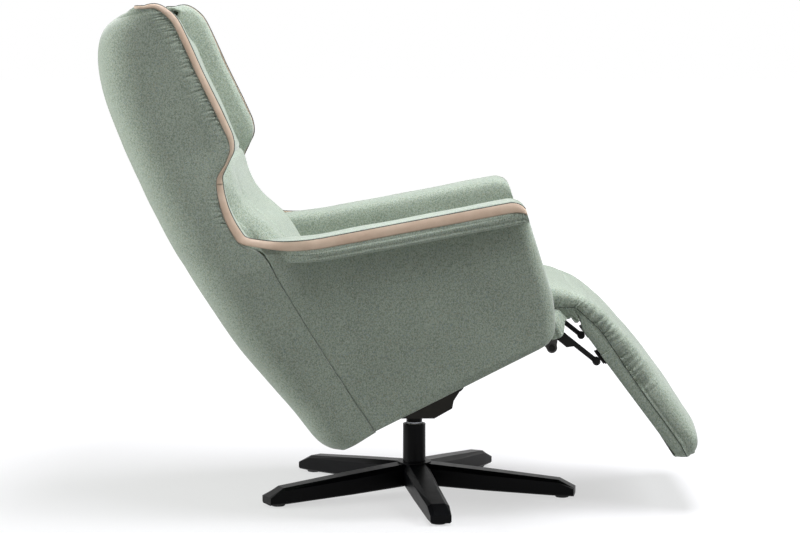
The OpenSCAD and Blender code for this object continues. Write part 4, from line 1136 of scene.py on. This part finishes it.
def wing_rings():
    """Sections of the padding inside the leather band, from the arm up the waist to the top of the ear."""
    rings = []
    first, last = 7.3, LAST - 0.7
    for t in np.linspace(first, last, 90):
        edge, ahead = edge_at([t])[0], across_line(edge_at, np.array([t]))[0]
        front, z = edge + (BAND_W * float(np.interp(t, BAND_TURNS, BAND_SHARES)) - 0.5) * ahead
        rim = edge[0] + 2
        fill = math.sqrt(min(1, 0.12 + (t - first) / 0.8, 0.12 + (last - t) / 1.6))
        plane = BACK_X + 2 - (z - BACK_Z) * math.tan(BACK_TILT)
        rear_t = float(np.interp(z, REAR[3:20, 1], np.arange(3, 20)))
        rear = min(max(plane, rear_at([rear_t])[0][0] + 117), front - 30)
        half = (front - rear) / 2
        turn = np.linspace(0, 2 * math.pi, 64, endpoint=False)
        c, s = spow(np.cos(turn), 0.55), spow(np.sin(turn), 0.55)
        x = front - half + half * c
        slant = 5 * smooth_step((x - rim) / BAND_W)
        wall = INNER_HALF - 0.4 + (half_width(z) - 7.5 - slant - INNER_HALF) * smooth_step((x - rim) / 5)
        flare = 16 * smooth_step((x - rear) / (front - rear))
        inside = ARM_INNER - 1 + 5 * (1 - fill) + flare
        rings.append(np.stack([x, inside + (wall - inside) * (s + 1) / 2, 0 * c + z], 1))
    return np.array(rings)


for side, left in SIDES:
    rings = wing_rings()
    way = unit((rings - rings.mean(1, keepdims=True)) * [1, 1, 0])
    rings = rings + way * (0.7 * ripple(rings, 80, 51))[..., None] * np.array([1, 0.4, 1])
    pad = plain_tube(f"head_wing_{side}", leaned(mirrored(rings, left)), wool)
    soft_piece(pad, f"wing_pad_{side}")
    lining = finished(evened(remeshed(f"arm_inside_{side}", f"arm_lining_{side}", 0.006), 5))
    shape_in(lining, DRAWING, lambda p: 0.8 * ripple(p, 120, 52))
    flat = in_frame(co_of(lining), *DRAWING)
    flat[:, 2] += 9 * smooth_step((flat[:, 2] - under_arm(flat[:, 0]) + 30) / 24)
    put_co(lining, leaned(flat))
    soft_piece(lining, f"arm_lining_{side}")

# Leg rest: cover over the knee, sliding part, pad, boxing strip and side aprons

LEG_HALF, BOARD_N, BOARD_TOP, BOARD_START = 222.0, 45.0, 61.0, 107.0
FOLD_START, FOLD_END, SLIDE, LEG_END = 100.0, 21.8, 75.0, 383.0


def leg_points(p):
    """Places in the leg rest frame, turned into the upright drawing."""
    return tilted(p, HINGE_X, HINGE_Z, LEG_TILT)


def about_hinge(angle, radius, y):
    a = np.radians(angle)
    return np.stack([HINGE_X + radius * np.cos(a), y + 0 * a, HINGE_Z + radius * np.sin(a)], -1)


def side_seam(a):
    """Height of the long side seam of the leg rest above its hinge line."""
    return np.interp(a, [-10, 2, 32, 60, 84, 136, 220, 286, 345, 373],
                     [59, 62, 68, 73.5, 73.5, 70.5, 67, 66.5, 65.5, 61])


def leg_top(a):
    """Height of the padding beside its crown."""
    stops = [0, 11, 30, 47, 85, 107, 131, 183, 239, 293, 325, 345, 358, 367, 374, 379.5, LEG_END]
    return np.interp(a, stops, [94, 98, 103.5, 107, 110.5, 112.5, 114.5, 115, 112.5, 110, 108.5, 107,
                                104, 99, 93.5, 87.5, 80])


def half_section(seam, high, wide, low):
    """Half of a cover's section: the given lower points, then from the side seam over to the crown."""
    tall = high - seam
    bulge = min(1.0, tall / 30)
    top = [[wide - 0.6, seam], [wide + 0.3 * bulge, seam + 0.12 * tall],
           [wide + 1.2 * bulge, seam + 0.3 * tall], [wide - 1.2, seam + 0.64 * tall],
           [wide - 15, high - 0.1 * tall], [wide - 52, high], [92, high + 3 * bulge], [0, high + 4 * bulge]]
    half = np.array(low + top)
    side = spline(half, np.linspace(0, len(half) - 1, 98))
    return np.concatenate([side, side[1:-1][::-1] * [-1, 1]])


def leg_ring(a, seam, high, wide, low):
    """A section of the leg rest cover at the length a."""
    ring = half_section(seam, high, wide, low)
    return np.stack([0 * ring[:, 0] + a, ring[:, 0], ring[:, 1]], 1)


def from_middle(rings):
    """The way out of the leg rest, for moving its top up and down more than sideways."""
    return unit((rings - [0, 0, 78]) * [0, 0.5, 1])


def knee_low(angle):
    """Radius of the seam between the knee cover and the apron."""
    return np.interp(angle, [21.8, 37, 53, 69, 100], [61.3, 47, 40, 35.5, 31])


def knee_cover():
    """The part that bends with the knee: it starts inside the seat and ends at the sliding part."""
    steps = np.concatenate([np.linspace(FOLD_START, FOLD_END + 1.2, 86), [FOLD_END + 0.3]])
    rings = []
    for angle in steps:
        high = float(np.interp(angle, [21.8, 31, 43, 63, 80, 100], [94, 88, 82, 81, 84, 89]))
        low = float(knee_low(angle))
        floor = [[0, low + 3], [130, low + 3], [203, low + 2.5], [217, low + 0.8]]
        ring = half_section(low + 0.8, high, LEG_HALF - 0.5, floor)
        rings.append(about_hinge(angle + 0 * ring[:, 0], ring[:, 1], ring[:, 0]))
    rings = np.array(rings)
    way = unit(rings - rings.mean(1, keepdims=True))
    angle = steps[:, None] + 0 * rings[..., 1]
    radius = np.linalg.norm(rings[..., ::2] - [HINGE_X, HINGE_Z], axis=-1)
    beside = np.abs(rings[..., 1])
    edge = smooth_step((beside - 150) / 50)
    above = np.maximum(radius - knee_low(angle), 0)
    pulls = gather_depth((angle - FOLD_END) * 1.5, above, [(4, 104, 17, 30, 3.0)], 61, 2.4)
    bow = 23 - 19 * smooth_step((beside - 120) / 100) * (1 - smooth_step((radius - 60) / 40) * 0.35)
    seam = groove((angle - FOLD_END - bow) * 1.45, 2.6, 3.4) * (above > 1)
    settle = smooth_step((angle - FOLD_END) / 5)
    rings = rings + way * ((1.5 * ripple(rings, 90, 62) - pulls * edge) * settle - seam)[..., None]
    return plain_tube("knee_cover", leaned(rings), wool)


def slide_cover():
    """The part between the knee and the pad. It folds up when the leg rest is drawn in."""
    length = BOARD_START - 0.2
    steps = np.concatenate([[0.2], np.linspace(1.5, length, 74)])
    rings = []
    for a in steps:
        seam = float(side_seam(a))
        low = BOARD_N + 1 + 11 * (1 - smooth_step((a - 12) / 36))
        floor = [[0, BOARD_TOP], [120, BOARD_TOP], [196, BOARD_TOP], [206, low + 7], [209, low], [219, low],
                 [221, low + 5], [221.8, (low + seam) / 2 + 2], [221.8, seam - 2.5]]
        rings.append(leg_ring(a, seam, float(leg_top(a)), LEG_HALF, floor))
    rings = np.array(rings)
    seam = side_seam(rings[..., 0])
    above = np.maximum(rings[..., 2] - seam, 0)
    edge = smooth_step((np.abs(rings[..., 1]) - 135) / 60) * (rings[..., 2] > seam + 0.5)
    pulls = gather_depth(rings[..., 0], above, [(6, 112, 12, 34, 4.4)], 63, 2.1)
    top = rings[..., 2] > BOARD_TOP + 4
    ends = smooth_step(rings[..., 0] / 8) * smooth_step((length - rings[..., 0]) / 8)
    move = (1.3 * ripple(rings, 80, 64) * top - pulls * edge) * ends
    rings = rings + from_middle(rings) * move[..., None]
    return plain_tube("slide_cover", leaned(leg_points(rings)), wool)


def bends(piece):
    """A piece between the chair and the swing arms: its placement is baked into its mesh, and it is attached
    to no body.
    """
    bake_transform(piece)


def slides_in(piece):
    """Attaches a piece to the leg rest's swing body and gives it a mesh of its own."""
    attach(piece, "legrest_swing")
    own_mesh(piece)


knee = knee_cover()
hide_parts("knee_bridge")
bends(knee)
sliding = slide_cover()
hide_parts("knee_bridge")
slides_in(sliding)


def tip_width(a):
    """Half width of the leg rest, less where its corners are rounded."""
    return LEG_HALF - 18 * (1 - np.sqrt(1 - ((a - 352) / 27.0).clip(0, 1) ** 2))


def leg_pad_rings():
    """Sections of the pad on the board, in line with the sliding part where they meet."""
    tip = [357, 362, 366.5, 370, 373, 376, 378.5, 380.5, 382, LEG_END]
    steps = np.concatenate([np.linspace(BOARD_START, 352, 50), tip])
    rings = []
    for a in steps:
        wide = float(tip_width(np.array(a)))
        bottom = 61.3 + 0.6 * float(smooth_step((a - 350) / 20)) + 13 * max((a - 375) / 8, 0) ** 2.2
        seam = max(float(side_seam(a)), bottom + 0.4)
        floor = [[0, bottom], [120, bottom], [wide - 18, bottom], [wide - 6, bottom + 0.1],
                 [wide - 4.9, (bottom + seam) / 2]]
        rings.append(leg_ring(a, seam, max(float(leg_top(a)), seam + 2), wide, floor))
    return steps, np.array(rings)


def leg_pulls(p):
    """Gathers along the side seam of the pad, and its slow swell."""
    a, y, n = p[..., 0], np.abs(p[..., 1]), p[..., 2]
    above = np.maximum(n - side_seam(a), 0)
    pulls = gather_depth(a, above, [(BOARD_START + 2, 236, 9.5, 34, 5.4)], 65, 2.2) \
        * smooth_step((y - 160) / 40) * (n > side_seam(a))
    swell = (n > BOARD_TOP + 4) * 1.3 * ripple(p, 110, 66)
    return (swell - pulls) * smooth_step((a - BOARD_START) / 8)


def leg_cushion():
    """The pad: filled as plain rings, held where it meets its neighbours, then read in finer rows."""
    steps, rings = leg_pad_rings()
    draft = plain_tube("leg_pad_draft", leaned(leg_points(rings)), wool)
    puffed(draft, 0.009, 2.5)
    filled = in_frame(co_of(draft), *LEG_PLACE)[:rings.shape[0] * rings.shape[1]].reshape(rings.shape)
    bpy.data.objects.remove(draft)
    move = filled - rings
    for turn in range(8):
        move = (np.roll(move, 1, 1) + np.roll(move, -1, 1) + 2 * move) / 4
        move[1:-1] = (move[:-2] + move[2:] + 2 * move[1:-1]) / 4
    share = 0.4 * smooth_step((rings[..., 0] - BOARD_START - 10) / 90) \
        * smooth_step((rings[..., 2] - side_seam(rings[..., 0])) / 9)
    rings = rings + move * share[..., None]
    tip = [370.5, 372, 373.5, 375, 376.5, 378, 379.3, 380.5, 381.5, 382.3, LEG_END]
    fine = [np.arange(BOARD_START, 230, 1.3), np.arange(230, 345, 3.0), np.arange(345, 369, 2.0), tip]
    fine = np.concatenate(fine)
    at = np.interp(fine, steps, np.arange(len(steps)))
    rings = spline(rings.reshape(len(steps), -1), at).reshape(len(fine), -1, 3)
    rings = rings + from_middle(rings) * leg_pulls(rings)[..., None]
    return plain_tube("leg_pad", leaned(leg_points(rings)), wool)


leg_pad = leg_cushion()
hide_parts("legrest_pad")
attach(leg_pad, "legrest")


def rim_line(height, out, steps=26):
    """The way round the edge of the board: along one side, across the end and back, with its height."""
    turn = np.linspace(0, math.pi / 2, steps)
    straight = np.linspace(BOARD_START + 0.4, 348, 60)
    corner = np.stack([352 + 25 * np.sin(turn), 200 + 22 * np.cos(turn)], 1)
    across = 1 - np.linspace(0, 1, 20)[1:]
    half = np.concatenate([np.stack([straight, 0 * straight + 222], 1), corner,
                           np.stack([0 * across + 377, 200 * across], 1)])
    lean = np.concatenate([0 * straight, smooth_step(turn / 1.2), np.ones(19)])
    rise = height(half[:, 0], lean)
    way = unit(np.gradient(half, axis=0))
    flat = half + np.stack([-way[:, 1], way[:, 0]], 1) * out(rise, lean)[:, None]
    line = np.stack([flat[:, 0], flat[:, 1], rise], 1)
    other = line[-2::-1] * [1, -1, 1]
    return np.concatenate([line, other])


def boxing():
    """Strip round the edge of the board, below the side seam, leaning in under the tip."""
    def course(k, inset):
        def height(a, lean):
            low = BOARD_N - 0.5 - 4 * lean
            return low + (side_seam(np.minimum(a, 373)) + 0.2 - low) * k

        bow = 0.6 * math.sin(math.pi * k)
        return rim_line(height, lambda rise, lean: bow - inset - 17 * lean * (1 - k) ** 1.2)

    outer = np.stack([course(k, 0) for k in np.linspace(0, 1, 10)], 1)
    inner = np.stack([course(k, 4.6) for k in np.linspace(0, 1, 10)], 1)
    strip = thick_cover("leg_boxing", leg_points(outer), leg_points(inner), wool, 1.2, 1.2)
    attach(strip, "legrest")
    path = rim_line(lambda a, lean: side_seam(np.minimum(a, 373)) + 0.3, lambda rise, lean: 0 * rise + 0.15)
    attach(cord_mesh("leg_seam", leaned(leg_points(path)), 0.0008, thread), "legrest")
    return strip


def knee_seams(side, left):
    """Seam lines along the sliding part and between the knee cover and the apron."""
    a = np.linspace(0.6, BOARD_START - 1, 60)
    line = np.stack([a, 0 * a + LEG_HALF - 0.2, side_seam(a)], 1)
    slides_in(cord_mesh(f"slide_seam_{side}", leaned(mirrored(leg_points(line), left)), 0.0008, thread))
    angle = np.linspace(FOLD_START - 2, FOLD_END + 0.3, 50)
    line = about_hinge(angle, knee_low(angle) + 0.6, LEG_HALF - 0.6)
    bends(cord_mesh(f"knee_seam_{side}", leaned(mirrored(line, left)), 0.0008, thread))


APRON_EDGE = [[294, 304], [303, 303.5], [312, 305], [317.5, 309], [322, 318], [327, 329], [331, 332.5],
              [338, 332], [343.5, 334], [346, 327], [349, 321], [353, 320.5], [357, 326], [360, 338]]


def apron(side, left):
    """Elasticated cloth that closes the side below the knee cover."""
    s = np.linspace(0, 1, 110)
    angle = 99 - (99 - FOLD_END) * s
    top = about_hinge(angle, knee_low(angle) + 2.2, 0)[:, ::2]
    bottom = spline(APRON_EDGE, s * (len(APRON_EDGE) - 1))
    v = np.linspace(0, 1, 22)[None, :, None]
    flat = top[:, None] + (bottom - top)[:, None] * v
    calm = 0.3 + 0.7 * smooth_step((s - 0.3) / 0.3)
    wave = (calm * (2.4 * np.sin(s * 44 + 0.8) + 1.5 * np.sin(s * 91 + 2)))[:, None] * v[..., 0] ** 1.2
    flare = 27 * (1 - smooth_step((s - 0.16) / 0.4))[:, None] * smooth_step(v[..., 0] / 0.4)
    y = 219.5 + wave + flare - 2.5 * v[..., 0] ** 2
    outer = np.stack([flat[..., 0], y, flat[..., 1]], -1)
    inner = outer - [0, 1.8, 0]
    cloth = thick_cover(f"knee_apron_{side}", mirrored(outer, left), mirrored(inner, left), wool, 0.8, 0.8)
    bends(cloth)
    hem = outer[:, -1] - [0, 0.9, 0]
    roll = cord_mesh(f"apron_hem_{side}", leaned(mirrored(hem, left)), 0.0019, wool, 8)
    bends(roll)
    return cloth, roll


leg_pieces = [knee, sliding, leg_pad, boxing()]
for side, left in SIDES:
    knee_seams(side, left)
    leg_pieces += apron(side, left)

# Stitches below the bands of the arms and seams down the front corners

arm_row = [spline(arm_section(*station), [1.8])[0] + [0, 1, 0]
           for station in arm_stations() if -150 < station[0] < 284 and station[1] > 0.3]
front_edge = panel_courses(np.linspace(0.3, 6.95, 80), False)[:, 29] + [0.2, 0.4, 0]
for side, left in SIDES:
    out = [0, 1 if left else -1, 0.25]
    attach(stitches(f"arm_stitch_{side}_0", leaned(mirrored(arm_row, left)), out, thread), "chair")
    chair_seam(f"corner_seam_{side}", mirrored(front_edge, left))

# Stage: floor, backdrop and lamps

FLOOR_HALF = 30.0


def build_stage():
    """A pale floor whose camera-only glow is dimmed near the chair, which paints shade round it, and a white
    world that lights it only a little.
    """
    mesh = bpy.data.meshes.new("floor")
    corners = [(x * FLOOR_HALF, y * FLOOR_HALF, 0) for x, y in ((-1, -1), (1, -1), (1, 1), (-1, 1))]
    mesh.from_pydata(corners, [], [(0, 1, 2, 3)])
    floor = bpy.data.objects.new("floor", mesh)
    floor.location.z = cad_box[0][2]
    bpy.context.collection.objects.link(floor)
    material, t = new_material("pale_floor")
    diffuse = t.add("ShaderNodeBsdfDiffuse", {"Color": (0.36, 0.36, 0.36, 1)})
    spread = t.add("ShaderNodeVectorMath", {0: t.where()}, operation="LENGTH").outputs["Value"]
    # painted shade: the glow that only the camera sees grows from 0.6 near the chair to 1.0 far away, so the
    # floor round the chair looks darker
    glow_dimmed_near_chair = t.ramp(spread, 0.9, 3.8, 0.6, 1.0)
    glow = t.add("ShaderNodeEmission", {"Color": (1, 1, 1, 1), "Strength": glow_dimmed_near_chair})
    dark = t.add("ShaderNodeEmission", {"Color": (0, 0, 0, 1), "Strength": 0.0})
    lit = t.add("ShaderNodeMixShader", {0: t.only_seen(), 1: dark.outputs[0], 2: glow.outputs[0]})
    both = t.add("ShaderNodeAddShader", {0: diffuse.outputs[0], 1: lit.outputs[0]})
    t.add("ShaderNodeOutputMaterial", {"Surface": both.outputs[0]})
    mesh.materials.append(material)

    world = bpy.data.worlds.new("studio")
    world.use_nodes = True
    bpy.context.scene.world = world
    t = Tree(world.node_tree)
    t.nodes.clear()
    fill = t.add("ShaderNodeBackground", {"Color": (1.0, 0.985, 0.93, 1), "Strength": 0.068})
    white = t.add("ShaderNodeBackground", {"Color": (1, 1, 1, 1), "Strength": 1.0})
    mixed = t.add("ShaderNodeMixShader", {0: t.only_seen(), 1: fill.outputs[0], 2: white.outputs[0]})
    t.add("ShaderNodeOutputWorld", {"Surface": mixed.outputs[0]})


def soft_box(name, place, aim, size, power, tone):
    """A rectangular lamp that faces the aim."""
    lamp = bpy.data.lights.new(name, "AREA")
    lamp.shape = "RECTANGLE"
    lamp.size, lamp.size_y = size
    lamp.energy = power
    lamp.color = tone
    obj = bpy.data.objects.new(name, lamp)
    obj.location = place
    way = np.array(aim, float) - np.array(place, float)
    flat = math.hypot(way[0], way[1])
    obj.rotation_euler = (math.atan2(flat, -way[2]), 0, math.atan2(-way[0], way[1]))
    bpy.context.collection.objects.link(obj)


build_stage()
soft_box("lamp_above", (0.4, -0.05, 3.4), (0, 0, 0.6), (3.2, 1.3), 156, (0.94, 0.93, 1.0))
soft_box("lamp_front", (0.3, -1.8, 3.4), (0, -0.2, 0.5), (2.6, 0.9), 6, (0.96, 0.97, 1.0))
soft_box("lamp_right", (3.0, -0.6, 2.5), (0, 0, 0.6), (1.6, 2.2), 78, (0.95, 0.98, 1.0))
soft_box("lamp_left", (-3.0, -0.2, 0.8), (0, 0, 0.5), (2.0, 2.2), 90, (0.97, 0.99, 1.0))

bpy.context.scene.view_settings.view_transform = "Standard"
